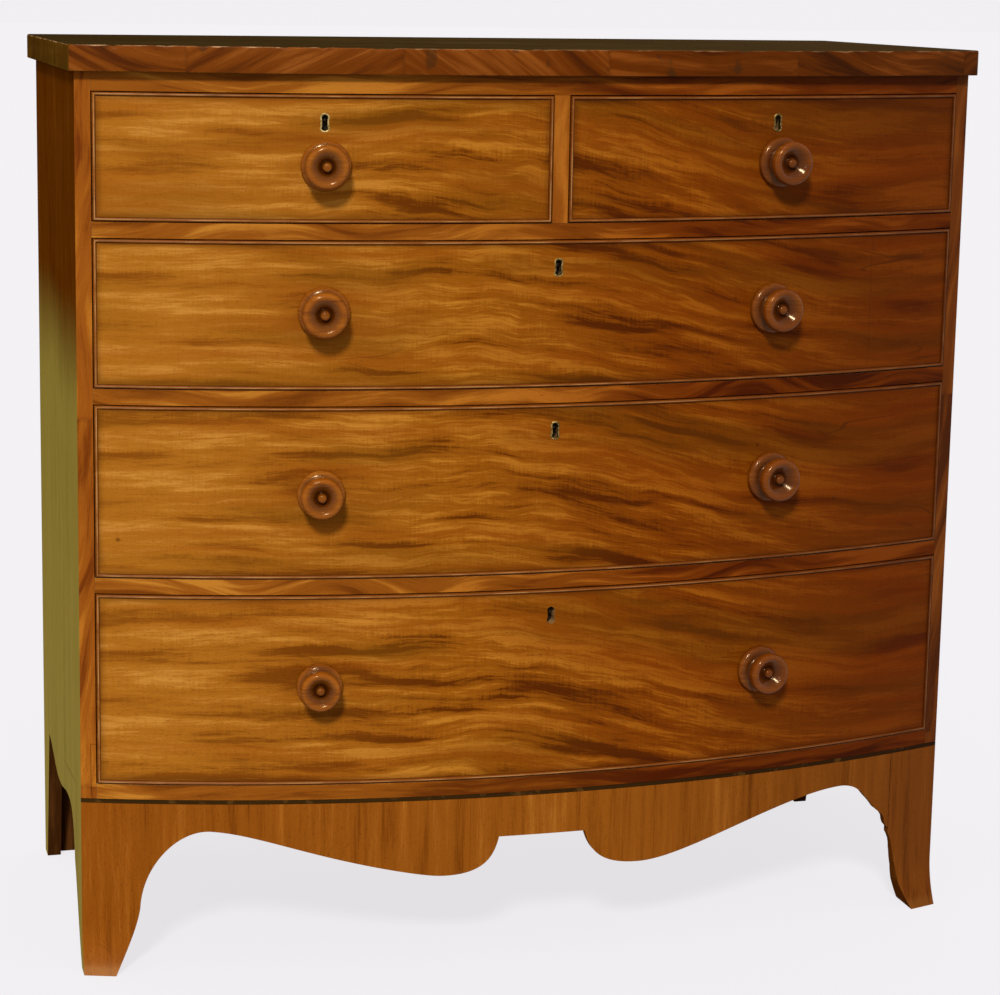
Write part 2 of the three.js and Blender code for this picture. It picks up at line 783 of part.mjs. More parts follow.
function placeCarcase() {
  place('top_board', topBoard(), finish(topColour, polishRoughness));
  place('side_left', sideBoard(-1), finish(sideColour, polishRoughness));
  place('side_right', sideBoard(1), finish(sideColour, polishRoughness));
  place('back_panel', backPanel(), finish(pineColour, bareRoughness));
  place('carcase_bottom', bowedShelf(shelves[0]), finish(railColour, polishRoughness));
  ['3', '2', '1'].forEach((number, i) => {
    place(`blade_${number}`, bowedShelf(shelves[1 + 2 * i]), finish(railColour, polishRoughness));
    place(`dustboard_${number}`, plainShelf(shelves[2 + 2 * i]), finish(pineColour, bareRoughness));
  });
  place('top_rail', bowedShelf(shelves[shelves.length - 1]), finish(railColour, polishRoughness));
  place('centre_partition', centrePartition(), finish(railColour, polishRoughness));
  place('stringing', stringing(), finish(inlayColour, polishRoughness));
  place('apron', apron(), finish(apronColour, polishRoughness));
  place('rear_bracket_left', rearBracket(-1), finish(pineColour, bareRoughness));
  place('rear_bracket_right', rearBracket(1), finish(pineColour, bareRoughness));
}

function placeDrawer(drawer) {
  const ends = drawerEnds(drawer);
  const knobZ = drawer.base + drawer.knobLift;
  place(`${drawer.name}_front`, drawerFront(drawer), finish(frontColour, polishRoughness));
  place(`${drawer.name}_cockbead`, cockbead(drawer), finish(beadColour, polishRoughness));
  place(`${drawer.name}_side_left`, drawerSide(drawer, ends.left), finish(oakColour, bareRoughness));
  place(`${drawer.name}_side_right`, drawerSide(drawer, ends.right), finish(oakColour, bareRoughness));
  place(`${drawer.name}_back`, drawerBack(drawer), finish(oakColour, bareRoughness));
  place(`${drawer.name}_base`, drawerBase(drawer), finish(oakColour, bareRoughness));
  place(`${drawer.name}_lock`, lock(drawer), finish(ironColour, metalRoughness, 1));
  drawer.knobXs.forEach((x, i) => {
    const hand = drawer.knobXs.length > 1 ? ['_left', '_right'][i] : '';
    place(`${drawer.name}_knob${hand}`, knobGeometry(x, knobZ), finish(knobColour, polishRoughness));
  });
}

const outerEdge = innerHalf - drawerGap;
const middleEdge = partitionWidth / 2 + drawerGap;
const shortSizes = {
  base: topOpeningBase, height: topOpeningHeight, knobLift: topKnobLift, segments: shortBowSegments,
};
const longSizes = {
  left: -outerEdge, right: outerEdge, knobXs: [-knobReach, knobReach], keyX: 0, segments: longBowSegments,
};

placeCarcase();
[
  {
    name: 'short_left', left: -outerEdge, right: -middleEdge, knobXs: [-knobReach], keyX: -keyholeReach,
    ...shortSizes,
  },
  {
    name: 'short_right', left: middleEdge, right: outerEdge, knobXs: [knobReach], keyX: keyholeReach,
    ...shortSizes,
  },
  {
    name: 'long_1', base: secondOpeningBase, height: secondOpeningHeight, knobLift: secondKnobLift,
    ...longSizes,
  },
  {
    name: 'long_2', base: thirdOpeningBase, height: thirdOpeningHeight, knobLift: thirdKnobLift,
    ...longSizes,
  },
  {
    name: 'long_3', base: bottomOpeningBase, height: bottomOpeningHeight, knobLift: bottomKnobLift,
    ...longSizes,
  },
].forEach(placeDrawer);

// The origin goes to the middle of the chest, front to back, on the floor
const extent = new THREE.Box3().setFromObject(chest);
chest.position.y = -(extent.min.y + extent.max.y) / 2;
chest.updateMatrixWorld(true);

export default chest;
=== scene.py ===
import random
from functools import cached_property, partialmethod, reduce
from math import asin, copysign, cos, pi, radians, sin, sqrt

import bmesh
import bpy
from mathutils import Euler, Matrix, Vector


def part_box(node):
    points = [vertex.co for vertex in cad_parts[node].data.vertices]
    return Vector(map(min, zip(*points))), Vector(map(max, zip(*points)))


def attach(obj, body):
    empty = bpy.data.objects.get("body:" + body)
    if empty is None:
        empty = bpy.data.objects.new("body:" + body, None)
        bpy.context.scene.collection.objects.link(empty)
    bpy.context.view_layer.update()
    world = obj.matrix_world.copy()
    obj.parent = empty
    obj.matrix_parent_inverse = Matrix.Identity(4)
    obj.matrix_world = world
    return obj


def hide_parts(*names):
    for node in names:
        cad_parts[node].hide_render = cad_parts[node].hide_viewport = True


# A bow front chest of drawers. Metres, +Z up, the front faces -Y.
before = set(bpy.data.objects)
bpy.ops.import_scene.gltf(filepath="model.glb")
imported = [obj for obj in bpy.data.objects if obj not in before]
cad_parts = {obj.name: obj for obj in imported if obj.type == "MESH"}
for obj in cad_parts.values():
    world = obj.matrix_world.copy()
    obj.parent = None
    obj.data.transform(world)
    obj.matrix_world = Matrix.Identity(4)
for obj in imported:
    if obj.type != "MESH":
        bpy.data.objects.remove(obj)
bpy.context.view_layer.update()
scene = bpy.context.scene

# The bowed front, from the frame
string_low, string_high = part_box("stringing")
side_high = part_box("side_left")[1]
top_low, top_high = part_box("top_board")
HALF_WIDTH = string_high.x
INNER_HALF = -side_high.x
BOW_MIDDLE = string_low.y
BOW_RISE = 0.081
BOW_RADIUS = (HALF_WIDTH ** 2 + BOW_RISE ** 2) / (2 * BOW_RISE)
CORNER_Y = BOW_MIDDLE + BOW_RISE
FOOT_HEIGHT = string_low.z
CARCASE_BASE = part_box("carcase_bottom")[0].z
CARCASE_TOP = side_high.z
BACK_Y = side_high.y
SIDE_DEPTH = BACK_Y - CORNER_Y
TOP_FRONT = BOW_MIDDLE - top_low.y
FRONT_FACING = -0.7
MILLIMETRE = 0.001
SEAM = 0.0003
WELD = 0.000005


def bow_y(x):
    return BOW_MIDDLE + BOW_RADIUS - sqrt(BOW_RADIUS ** 2 - x ** 2)


def bow_axes(x):
    """Directions out of the front and along it, at a distance from the middle."""
    turn = asin(x / BOW_RADIUS)
    out = Vector((sin(turn), -cos(turn), 0))
    along = Vector((cos(turn), sin(turn), 0))
    return out, along


def lerp(a, b, share):
    return a + (b - a) * share


def spread(a, b, count):
    return [lerp(a, b, i / count) for i in range(count + 1)]


CURVE_STEPS = 26


def bent(points, curves):
    """Points with curves added, each as its end and its two handles, which are shares of the way to it."""
    for end, handles in curves:
        start = points[-1]
        first, second = [[lerp(*way) for way in zip(start, end, handle)] for handle in handles]
        corners = (start, first, second, end)
        for t in spread(0, 1, CURVE_STEPS)[1:]:
            s = 1 - t
            weights = (s ** 3, 3 * s * s * t, 3 * s * t * t, t ** 3)
            points.append(tuple(sum(w * c[k] for w, c in zip(weights, corners)) for k in (0, 1)))
    return points


def paint(thing, name, values):
    """Gives each point of a piece a value that its material reads."""
    layer = thing.data.attributes.new(name, "FLOAT", "POINT")
    layer.data.foreach_set("value", values)


class Tree:
    """Builds the nodes of a material, or of the world."""

    def __init__(self, owner):
        owner.use_nodes = True
        self.owner = owner
        self.nodes = owner.node_tree.nodes
        self.links = owner.node_tree.links

    @cached_property
    def place(self):
        return self.add("TexCoord", {})["Object"]

    @cached_property
    def axes(self):
        return self.add("SeparateXYZ", {0: self.place})

    @cached_property
    def shader(self):
        return self.nodes["Principled BSDF"]

    def plug(self, socket, value):
        if isinstance(value, bpy.types.NodeSocket):
            self.links.new(value, socket)
        else:
            socket.default_value = value

    def add(self, kind, inputs, **settings):
        """The outputs of a new node, with values or sockets plugged into its inputs."""
        node = self.nodes.new(f"ShaderNode{kind}")
        for name, value in settings.items():
            setattr(node, name, value)
        for key, value in inputs.items():
            self.plug(node.inputs[key], value)
        return node.outputs

    def math(self, operation, *values):
        return self.add("Math", dict(enumerate(values)), operation=operation)[0]

    def fold(self, operation, *values):
        return reduce(lambda a, b: self.math(operation, a, b), values)

    less = partialmethod(math, "SUBTRACT")
    line = partialmethod(math, "MULTIPLY_ADD")
    plus = partialmethod(fold, "ADD")
    times = partialmethod(fold, "MULTIPLY")
    most = partialmethod(fold, "MAXIMUM")
    least = partialmethod(fold, "MINIMUM")

    def total(self, start, *parts):
        """A sum of values, each about its own middle and times its own weight."""
        for value, middle, weight in parts:
            start = self.plus(self.line(value, weight, -middle * weight), start)
        return start

    def join(self, x, y, z):
        return self.add("CombineXYZ", {0: x, 1: y, 2: z})[0]

    def moved(self, vector, scale):
        return self.add("Mapping", {"Vector": vector, "Scale": scale})[0]

    def noise(self, vector, scale, detail=2, roughness=0.5):
        moved = self.moved(vector, scale)
        inputs = {"Vector": moved, "Scale": 1, "Detail": detail, "Roughness": roughness}
        return self.add("TexNoise", inputs)["Fac"]

    def cells(self, vector, scale):
        return self.add("TexVoronoi", {"Vector": self.moved(vector, scale), "Scale": 1})["Distance"]

    def chance(self, number, salt):
        return self.add("TexWhiteNoise", {"W": self.plus(number, salt)}, noise_dimensions="1D")["Value"]

    def attribute(self, name):
        return self.add("Attribute", {}, attribute_name=name)["Fac"]

    def between(self, value, start, end, before=0, after=1):
        """A soft step from one value to another, between a start and an end."""
        inputs = dict(enumerate((value, start, end, before, after)))
        return self.add("MapRange", inputs, interpolation_type="SMOOTHSTEP")[0]

    def near(self, value, middle, reach):
        """1 at the middle, falling to 0 at a reach to either side of it."""
        return self.between(self.math("ABSOLUTE", self.less(value, middle)), 0, reach, 1, 0)

    def ramp(self, value, places, colours):
        node = self.nodes.new("ShaderNodeValToRGB")
        self.plug(node.inputs[0], value)
        elements = node.color_ramp.elements
        while len(elements) < len(colours):
            elements.new(places[1])
        for element, place, colour in zip(elements, places, colours):
            element.position = place
            element.color = colour
        return node.outputs[0]

    def mix(self, share, a, b):
        node = self.nodes.new("ShaderNodeMix")
        node.data_type = "RGBA"
        for socket, value in zip([s for s in node.inputs if s.enabled], (share, a, b)):
            self.plug(socket, value)
        return next(s for s in node.outputs if s.enabled)

    def finish(self, colour, roughness, specular, height, strength, metallic=0):
        normal = self.add("Bump", {"Height": height, "Distance": GRAIN_DEPTH, "Strength": strength})[0]
        for name, value in (
                ("Base Color", colour), ("Roughness", roughness), ("Specular IOR Level", specular),
                ("Metallic", metallic), ("Normal", normal)):
            self.plug(self.shader.inputs[name], value)
        return self.owner


def tone(*levels):
    """A colour given as its red, green and blue look on a screen, from 0 to 255."""
    linear = [((c / 255 + 0.055) / 1.055) ** 2.4 if c > 10 else c / 255 / 12.92 for c in levels]
    return (*linear, 1)


# Colours of each wood: dark, middle and light, each from one end of its grading to the other. Where a piece
# is graded from left to right, the lighter, more golden left end and the darker, redder right end are
# partly the wood's own fading and partly painted light and shade from the key on the left
def palette(*rows):
    return [[tone(*colour) for colour in row] for row in rows]


FRONT = palette(
    ((132, 72, 11), (92, 40, 1), (76, 28, 1), (74, 26, 1)),
    ((168, 102, 25), (148, 82, 11), (119, 54, 2), (94, 39, 2)),
    ((197, 132, 52), (186, 118, 34), (156, 86, 14), (114, 52, 5)))
SMOKE_TINT = palette(((130, 82, 12), (104, 58, 4), (82, 36, 2)))[0]
RED_TINT = palette(((158, 82, 14), (134, 60, 4), (104, 38, 1)))[0]
RAIL = palette(
    ((118, 60, 10), (98, 44, 5), (74, 24, 1), (58, 18, 1)),
    ((148, 81, 18), (136, 72, 13), (108, 46, 3), (92, 36, 2)),
    ((190, 122, 40), (178, 106, 30), (148, 74, 14), (118, 54, 8)))
STILE = palette(
    ((112, 50, 8), (104, 46, 8), (70, 30, 6)),
    ((150, 80, 18), (140, 74, 16), (100, 48, 12)),
    ((180, 108, 30), (170, 98, 28), (122, 64, 20)))
TOP_EDGE = palette(
    ((82, 36, 6), (66, 26, 3), (50, 22, 4)),
    ((122, 61, 12), (98, 43, 3), (80, 36, 5)),
    ((152, 86, 30), (130, 66, 16), (112, 54, 14)))
# The top is dark wood without specular reflection. Its paler greyish streaks are partly a painted sheen
TOP = palette(
    ((48, 32, 12), (52, 36, 16), (56, 40, 20)),
    ((58, 42, 18), (62, 46, 22), (68, 50, 28)),
    ((78, 60, 30), (82, 64, 34), (88, 70, 40)))
TOP_SIDE = palette(
    ((66, 40, 8), (66, 40, 8), (60, 34, 10)),
    ((88, 56, 12), (88, 54, 10), (84, 46, 14)),
    ((108, 72, 20), (104, 68, 18), (100, 58, 20)))
APRON = palette(
    ((108, 52, 5), (114, 58, 6), (80, 36, 5)),
    ((140, 74, 12), (145, 80, 17), (108, 55, 12)),
    ((167, 98, 28), (170, 103, 32), (130, 70, 20)))
# The left side: pale olive low down, partly a painted reflection, and dark brown high up, partly painted
# shade
LEFT_SIDE = palette(
    ((116, 84, 40), (102, 70, 22), (76, 34, 2)),
    ((134, 102, 52), (120, 86, 32), (98, 48, 3)),
    ((148, 116, 64), (134, 100, 44), (114, 60, 8)))
RIGHT_SIDE = palette(
    ((76, 36, 8), (72, 34, 8), (68, 32, 8)),
    ((100, 52, 14), (98, 50, 14), (94, 48, 14)),
    ((120, 68, 24), (118, 66, 24), (114, 62, 22)))
BEAD = palette(
    ((88, 40, 5), (80, 34, 4), (58, 22, 3)),
    ((126, 66, 12), (112, 54, 8), (84, 36, 5)),
    ((156, 92, 28), (140, 76, 22), (108, 52, 12)))
KNOB = palette(
    ((104, 46, 2), (90, 36, 2), (52, 14, 1)),
    ((158, 86, 12), (132, 66, 8), (76, 22, 1)),
    ((198, 122, 32), (170, 98, 24), (112, 50, 8)))
KNOB_SHINE = (1, 0.72, 0.42, 1)
KNOB_HOLLOW_AND_SHADE = tone(54, 20, 2)
STRING = palette(
    ((36, 22, 6), (32, 18, 4), (26, 14, 4)),
    ((56, 36, 10), (50, 30, 8), (38, 20, 6)),
    ((72, 48, 18), (64, 42, 14), (52, 30, 10)))
PINE = palette(
    ((142, 100, 54), (138, 96, 50), (134, 92, 48)),
    ((176, 134, 82), (172, 130, 78), (168, 126, 74)),
    ((198, 158, 106), (194, 154, 102), (190, 150, 98)))
OAK = palette(
    ((112, 80, 44), (110, 78, 42), (106, 74, 40)),
    ((146, 110, 66), (144, 108, 64), (140, 104, 60)),
    ((170, 134, 86), (168, 132, 84), (164, 128, 80)))
IRON = palette(((22, 16, 10),) * 3, ((42, 32, 20),) * 3, ((66, 50, 32),) * 3)
# A dark wood for the rear brackets and for the inner faces and edges of the feet and apron
DARK_WOOD = palette(((36, 18, 5),) * 3, ((62, 33, 10),) * 3, ((92, 52, 20),) * 3)
PALE_WEAR_AND_HIGHLIGHT = tone(206, 160, 112)
PALE_FOOT = tone(178, 122, 62)
RUBBED_AND_HIGHLIGHT = tone(196, 146, 90)
DARK_LINE = tone(58, 24, 4)
# Where the colours of a row of three or four lie along the grading
GRADES = {3: (0, 0.55, 1), 4: (0.1, 0.39, 0.63, 0.88)}


def graded(tree, share, value, colours):
    """The colour for a value of the figure, where the palette is graded along the piece."""
    dark, mid, light = [tree.ramp(share, GRADES[len(row)], row) for row in colours]
    colour = tree.mix(tree.between(value, 0, 0.5), dark, mid)
    return tree.mix(tree.between(value, 0.5, 1), colour, light)


def across_share(tree, x, z=None):
    """How far a place is from the left end to the right one, from 0 to 1. The palettes graded by it get
    darker to the right, partly as painted shade.
    """
    return tree.line(x, 1 / (2 * HALF_WIDTH), 0.5)


# Noises of the figure: features a metre along, through and across the grain, then detail and roughness
SMOKE = ((4.2, 1, 40), 1, 0.5)
WISP = ((7.5, 1, 82), 2, 0.4)
STREAK = ((13, 1, 160), 3, 0.6)
FIBRE = ((34, 1, 520), 3, 0.7)
HATCH = ((430, 1, 34), 1, 0.5)
PORE = ((210, 1, 1500), 1, 0.5)
DRIFT = ((3.4, 1, 8), 2, 0.5)
RIPPLE = ((16, 1, 27), 2, 0.5)
SMOKE_PATCH = ((3, 1, 22), 1, 0.5)
RED_PATCH = ((2.6, 1, 40), 2, 0.5)
CRACK = ((2.2, 1, 24), 1, 0.5)
SPECK = (13, 1, 15)
BAND = ((6, 1, 58), 2, 0.5)
BAND_DRIFT = ((5, 1, 9), 1, 0.5)
PLAIN_DRIFT = ((3, 1, 14), 2, 0.5)
PLAIN_STREAK = ((3.5, 1, 90), 3, 0.55)
PLAIN_FIBRE = ((22, 1, 560), 3, 0.7)
PLAIN_PORE = ((230, 1, 1500), 1, 0.5)
# How the parts of the figure add up, as (middle, weight)
DRIFT_SWING = (0.5, 0.055)
RIPPLE_SWING = (0.5, 0.012)
SERRATION = (0.5, 0.0028)
STREAK_SHARE = (0.5, 1.15)
GOLD_SHARE = (0.3, 0.1)
SMOKE_SHARE = (0.5, 0.75)
BANDS_SHARE = (0.7, 0.34)
WISP_SHARE = (0.5, 1.4)
FIBRE_SHARE = (0.5, 1)
HATCH_SHARE = (0.5, 0.22)
FIELD_EDGE_SHADE_SWAY = (0.5, 0.012)
BAND_STREAK_SHARE = (0.5, 0.8)
BAND_FIBRE_SHARE = (0.5, 0.6)
TINT_SHARE = (0.5, 0.12)
PLAIN_STREAK_WEIGHT = 1.6
PLAIN_DRIFT_WEIGHT = 0.9
PLAIN_FIBRE_SHARE = (0.5, 0.85)
FIBRE_HEIGHT = (0.5, 0.4)
PORE_HEIGHT = (0, -0.8)
# Soft steps, as (start, end, value before, value after)
FALL = (-0.14, 0.44, 0, 0.09)
CALM = (-0.05, HALF_WIDTH, 1, 0.45)
WAVY = (-0.42, -0.02, 0.4, 1.2)
EVEN = (-HALF_WIDTH, -0.12, 0.72, 1)
BANDS = (0.34, 0.52)
SMOKY = (0.48, 0.66, 0, 0.45)
RUDDY = (0.46, 0.66, 0, 0.42)
PORES = (0.6, 0.74)
BAND_PORES = (0.62, 0.75)
CRACKED = (0.62, 0.66, 0, 0.55)
SPECKS = (0.018, 0.045, 1, 0)
FIELD_EDGE_SHADE = (0.003, 0.012, 0.38, 0)
JOINT_STEP = (0, 0.0004, 0.16, 0)
# Soft lines, as (middle, reach)
GOLD = (0.56, 0.03)
CRACK_LINE = (0.5, 0.006)
FRONT_MIDDLE = 0.53
PORE_SHADE = 0.4
SPECK_SHADE = 0.55
BAND_PORE_SHADE = 0.3
PLAIN_PORE_SHADE = 0.42
SEAM_REACH = 0.0012
SEAM_SHADE = 0.3
JOINT_HALF = 0.0011
STEP_SEED = 0.37
STEP_START = 40
LENGTH_SEED = 3.7
TINT_SEED = 5.5
THROUGH_DRIFT = 0.7
THROUGH_STREAK = 40
GRAIN_DEPTH = 0.0001
GRAIN_STRENGTH = 0.6
GLOSS_RANGE = 0.16
VENEER_SHINE = (0.36, 0.03)


def polish(tree, colour, shade, fibres, pores, roughness, specular, wear=None):
    """The surface of a polished wood: dark lines, some of them painted shade, wear, with painted shade and
    highlights on some pieces, open pores and a slightly uneven gloss.
    """
    colour = tree.mix(shade, colour, DARK_LINE)
    if wear is not None:
        colour = wear(tree, colour, tree.axes["X"], tree.axes["Z"])
    rough = tree.line(fibres, GLOSS_RANGE, roughness - GLOSS_RANGE / 2)
    height = tree.total(0, (fibres, *FIBRE_HEIGHT), (pores, *PORE_HEIGHT))
    return tree.finish(colour, rough, specular, height, GRAIN_STRENGTH)


def front_veneer(name, lowest, highest, seed, joint=None):
    """Figured veneer: soft smoky bands with gold edges, which fall towards the right, and painted shade
    along the borders of the field.
    """
    tree = Tree(bpy.data.materials.new(name))
    x, _, z = tree.axes
    level = tree.plus(tree.less(z, (lowest.z + highest.z) / 2), tree.between(x, *FALL))
    plane = tree.join(x, seed, level)
    drift = tree.noise(plane, *DRIFT)
    calm = tree.between(x, *CALM)
    swing = tree.total(0, (drift, *DRIFT_SWING), (tree.noise(plane, *RIPPLE), *RIPPLE_SWING))
    level = tree.line(swing, tree.times(calm, tree.between(x, *WAVY)), level)
    flat = tree.join(x, seed, level)
    hatch = tree.noise(plane, *HATCH)
    serrated = tree.join(x, seed, tree.total(level, (hatch, *SERRATION)))
    smoke = tree.noise(serrated, *SMOKE)
    wisp = tree.noise(serrated, *WISP)
    fibres = tree.noise(flat, *FIBRE)
    fine = tree.total(0, (tree.noise(flat, *STREAK), *STREAK_SHARE), (tree.near(wisp, *GOLD), *GOLD_SHARE))
    value = tree.total(
        tree.line(fine, calm, FRONT_MIDDLE), (smoke, *SMOKE_SHARE),
        (tree.between(smoke, *BANDS), *BANDS_SHARE), (wisp, *WISP_SHARE), (fibres, *FIBRE_SHARE),
        (hatch, *HATCH_SHARE))
    value = tree.line(tree.less(value, FRONT_MIDDLE), tree.between(x, *EVEN), FRONT_MIDDLE)
    share = across_share(tree, x)
    colour = graded(tree, share, value, FRONT)
    for vector, patch, step, tint in (
            (serrated, SMOKE_PATCH, SMOKY, SMOKE_TINT), (flat, RED_PATCH, RUDDY, RED_TINT)):
        amount = tree.between(tree.noise(vector, *patch), *step)
        colour = tree.mix(amount, colour, tree.ramp(share, GRADES[3], tint))
    pores = tree.between(tree.noise(plane, *PORE), *PORES)
    crack = tree.near(tree.noise(flat, *CRACK), *CRACK_LINE)
    specks = tree.between(tree.cells(plane, SPECK), *SPECKS)
    # Painted shade: the field gets darker towards its borders, next to the beads, within about twelve
    # millimetres.
    edge = tree.least(
        tree.less(highest.z, z), tree.less(z, lowest.z), tree.less(highest.x, x), tree.less(x, lowest.x))
    field_edge_shade = tree.between(tree.total(edge, (drift, *FIELD_EDGE_SHADE_SWAY)), *FIELD_EDGE_SHADE)
    shade = tree.most(
        tree.times(pores, PORE_SHADE), tree.times(specks, SPECK_SHADE),
        tree.times(crack, tree.between(drift, *CRACKED)), field_edge_shade)
    if joint is not None:
        shade = tree.most(shade, tree.times(tree.near(x, joint, SEAM_REACH), SEAM_SHADE))
    return polish(tree, colour, shade, fibres, pores, *VENEER_SHINE)


def banded_veneer(name, colours, along, seed, length, lean, sweep, contrast, middle, wear=None):
    """Short lengths of veneer laid end to end, whose figure leans one way or the other."""
    tree = Tree(bpy.data.materials.new(name))
    x, _, z = tree.axes
    run, rise = (x, z) if along == "x" else (z, x)
    step = tree.line(run, 1 / length, seed * STEP_SEED + STEP_START)
    number = tree.math("FLOOR", step)
    level = tree.line(run, tree.total(0, (tree.chance(number, seed), 0.5, 2 * lean)), rise)
    length_seed = tree.line(number, LENGTH_SEED, seed)
    drift = tree.noise(tree.join(run, length_seed, level), *BAND_DRIFT)
    flat = tree.join(run, length_seed, tree.total(level, (drift, 0.5, sweep)))
    fibres = tree.noise(flat, *FIBRE)
    value = tree.total(
        middle, (tree.noise(flat, *BAND), 0.5, contrast),
        (tree.noise(flat, *STREAK), *BAND_STREAK_SHARE),
        (fibres, *BAND_FIBRE_SHARE), (tree.chance(number, seed + TINT_SEED), *TINT_SHARE))
    colour = graded(tree, across_share(tree, x), value, colours)
    pores = tree.between(tree.noise(flat, *PORE), *BAND_PORES)
    joint = tree.near(tree.math("FRACT", step), 0.5, 0.5 - JOINT_HALF / length)
    shade = tree.most(tree.times(pores, BAND_PORE_SHADE), tree.between(joint, *JOINT_STEP))
    return polish(tree, colour, shade, fibres, pores, *VENEER_SHINE, wear)


def plain_wood(
        name, colours, along, seed, roughness, specular, contrast, wear=None, grade=across_share,
        pore_shade=PLAIN_PORE_SHADE):
    """Straight wood: long soft streaks, fibres and pores along the grain."""
    tree = Tree(bpy.data.materials.new(name))
    x, y, z = tree.axes
    run, rise, through = {"x": (x, z, y), "z": (z, x, y), "y": (y, x, z)}[along]
    place = tree.join(run, tree.line(through, THROUGH_DRIFT, seed), rise)
    flat = tree.join(run, tree.line(through, THROUGH_STREAK, seed), rise)
    fibres = tree.noise(flat, *PLAIN_FIBRE)
    value = tree.total(
        0.5, (tree.noise(flat, *PLAIN_STREAK), 0.5, PLAIN_STREAK_WEIGHT * contrast),
        (tree.noise(place, *PLAIN_DRIFT), 0.5, PLAIN_DRIFT_WEIGHT * contrast), (fibres, *PLAIN_FIBRE_SHARE))
    colour = graded(tree, grade(tree, x, z), value, colours)
    pores = tree.between(tree.noise(flat, *PLAIN_PORE), *PORES)
    return polish(tree, colour, tree.times(pores, pore_shade), fibres, pores, roughness, specular, wear)


# Pieces from mesh code
def placed(name, data):
    """A new object in the scene."""
    thing = bpy.data.objects.new(name, data)
    scene.collection.objects.link(thing)
    return thing


def meshed(name, vertices, faces):
    mesh = bpy.data.meshes.new(name)
    mesh.from_pydata([tuple(corner) for corner in vertices], [], faces)
    return mesh


def weld(mesh):
    """Joins points that coincide, and turns the faces outwards."""
    work = bmesh.new()
    work.from_mesh(mesh)
    bmesh.ops.remove_doubles(work, verts=work.verts, dist=WELD)
    bmesh.ops.dissolve_degenerate(work, edges=work.edges, dist=WELD)
    bmesh.ops.recalc_face_normals(work, faces=work.faces)
    work.to_mesh(mesh)
    work.free()


SHARP = radians(30)
BOW_SHARP = radians(20)


def settle(mesh, name, materials, body, replaced, sharp=SHARP):
    """Makes a piece of a mesh: shaded, coloured, riding on its body and in the place of CAD nodes."""
    weld(mesh)
    mesh.polygons.foreach_set("use_smooth", [True] * len(mesh.polygons))
    mesh.set_sharp_from_angle(angle=sharp)
    mesh.materials.clear()
    for material in materials:
        mesh.materials.append(material)
    thing = placed(name, mesh)
    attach(thing, body)
    if replaced:
        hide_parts(*replaced)
    return thing


def piece(name, vertices, faces, materials, body, slot, *replaced):
    return settle(meshed(name, vertices, faces), name, materials, body, replaced)


ARRIS = 0.0007
ARRIS_SEGMENTS = 2
ARRIS_ANGLE = radians(40)


def ease(thing):
    """Rounds the arrises, so that they catch the light."""
    bevel = thing.modifiers.new("arris", "BEVEL")
    bevel.width = ARRIS
    bevel.segments = ARRIS_SEGMENTS
    bevel.limit_method = "ANGLE"
    bevel.angle_limit = ARRIS_ANGLE
    bevel.harden_normals = True


def loops(rings, closed=True, caps=True):
    """Faces that join rings of as many points each, one after the other."""
    size = len(rings[0])
    vertices = [corner for ring in rings for corner in ring]
    faces = []
    for i in range(len(rings) if closed else len(rings) - 1):
        a = i * size
        b = (i + 1) % len(rings) * size
        for j in range(size):
            k = (j + 1) % size
            faces.append((a + j, a + k, b + k, b + j))
    if caps and not closed:
        faces += [tuple(range(size)), tuple(range(len(vertices) - size, len(vertices)))]
    return vertices, faces


def slab(outer, inner):
    """A board between two grids of points, closed round its rim."""
    columns = len(outer)
    rows = len(outer[0])
    vertices = [corner for grid in (outer, inner) for column in grid for corner in column]
    faces = []

    def at(side, i, j):
        return (side * columns + i) * rows + j

    for side in (0, 1):
        for i in range(columns - 1):
            for j in range(rows - 1):
                square = ((i, j), (i + 1, j), (i + 1, j + 1), (i, j + 1))
                faces.append(tuple(at(side, *place) for place in square))
    rim = [(i, 0) for i in range(columns)]
    rim += [(columns - 1, j) for j in range(1, rows)]
    rim += [(i, rows - 1) for i in range(columns - 2, -1, -1)]
    rim += [(0, j) for j in range(rows - 2, 0, -1)]
    for (i, j), (k, m) in zip(rim, rim[1:] + rim[:1]):
        faces.append((at(0, i, j), at(0, k, m), at(1, k, m), at(1, i, j)))
    return vertices, faces


FLAT_ANGLE = 0.2
CUTS_PER_FACET = 6
BOW_MATCH = cos(radians(4))


def bow_normals(mesh):
    """Gives the faces that follow the bow the bow's own normals."""
    normals = [corner.vector.copy() for corner in mesh.corner_normals]
    for face in mesh.polygons:
        side = face.normal.dot(bow_axes(face.center.x)[0])
        if abs(side) > BOW_MATCH:
            for corner in face.loop_indices:
                x = mesh.vertices[mesh.loops[corner].vertex_index].co.x
                normals[corner] = bow_axes(x)[0] * copysign(1, side)
    mesh.normals_split_custom_set(normals)


def cut_away(mesh, tool):
    """The mesh with another closed mesh taken out of it."""
    things = [placed(part.name, part) for part in (mesh, tool)]
    cut = things[0].modifiers.new("cut", "BOOLEAN")
    cut.operation = "DIFFERENCE"
    cut.solver = "EXACT"
    cut.object = things[1]
    result = bpy.data.meshes.new_from_object(things[0].evaluated_get(bpy.context.evaluated_depsgraph_get()))
    for thing in things:
        bpy.data.objects.remove(thing)
    return result


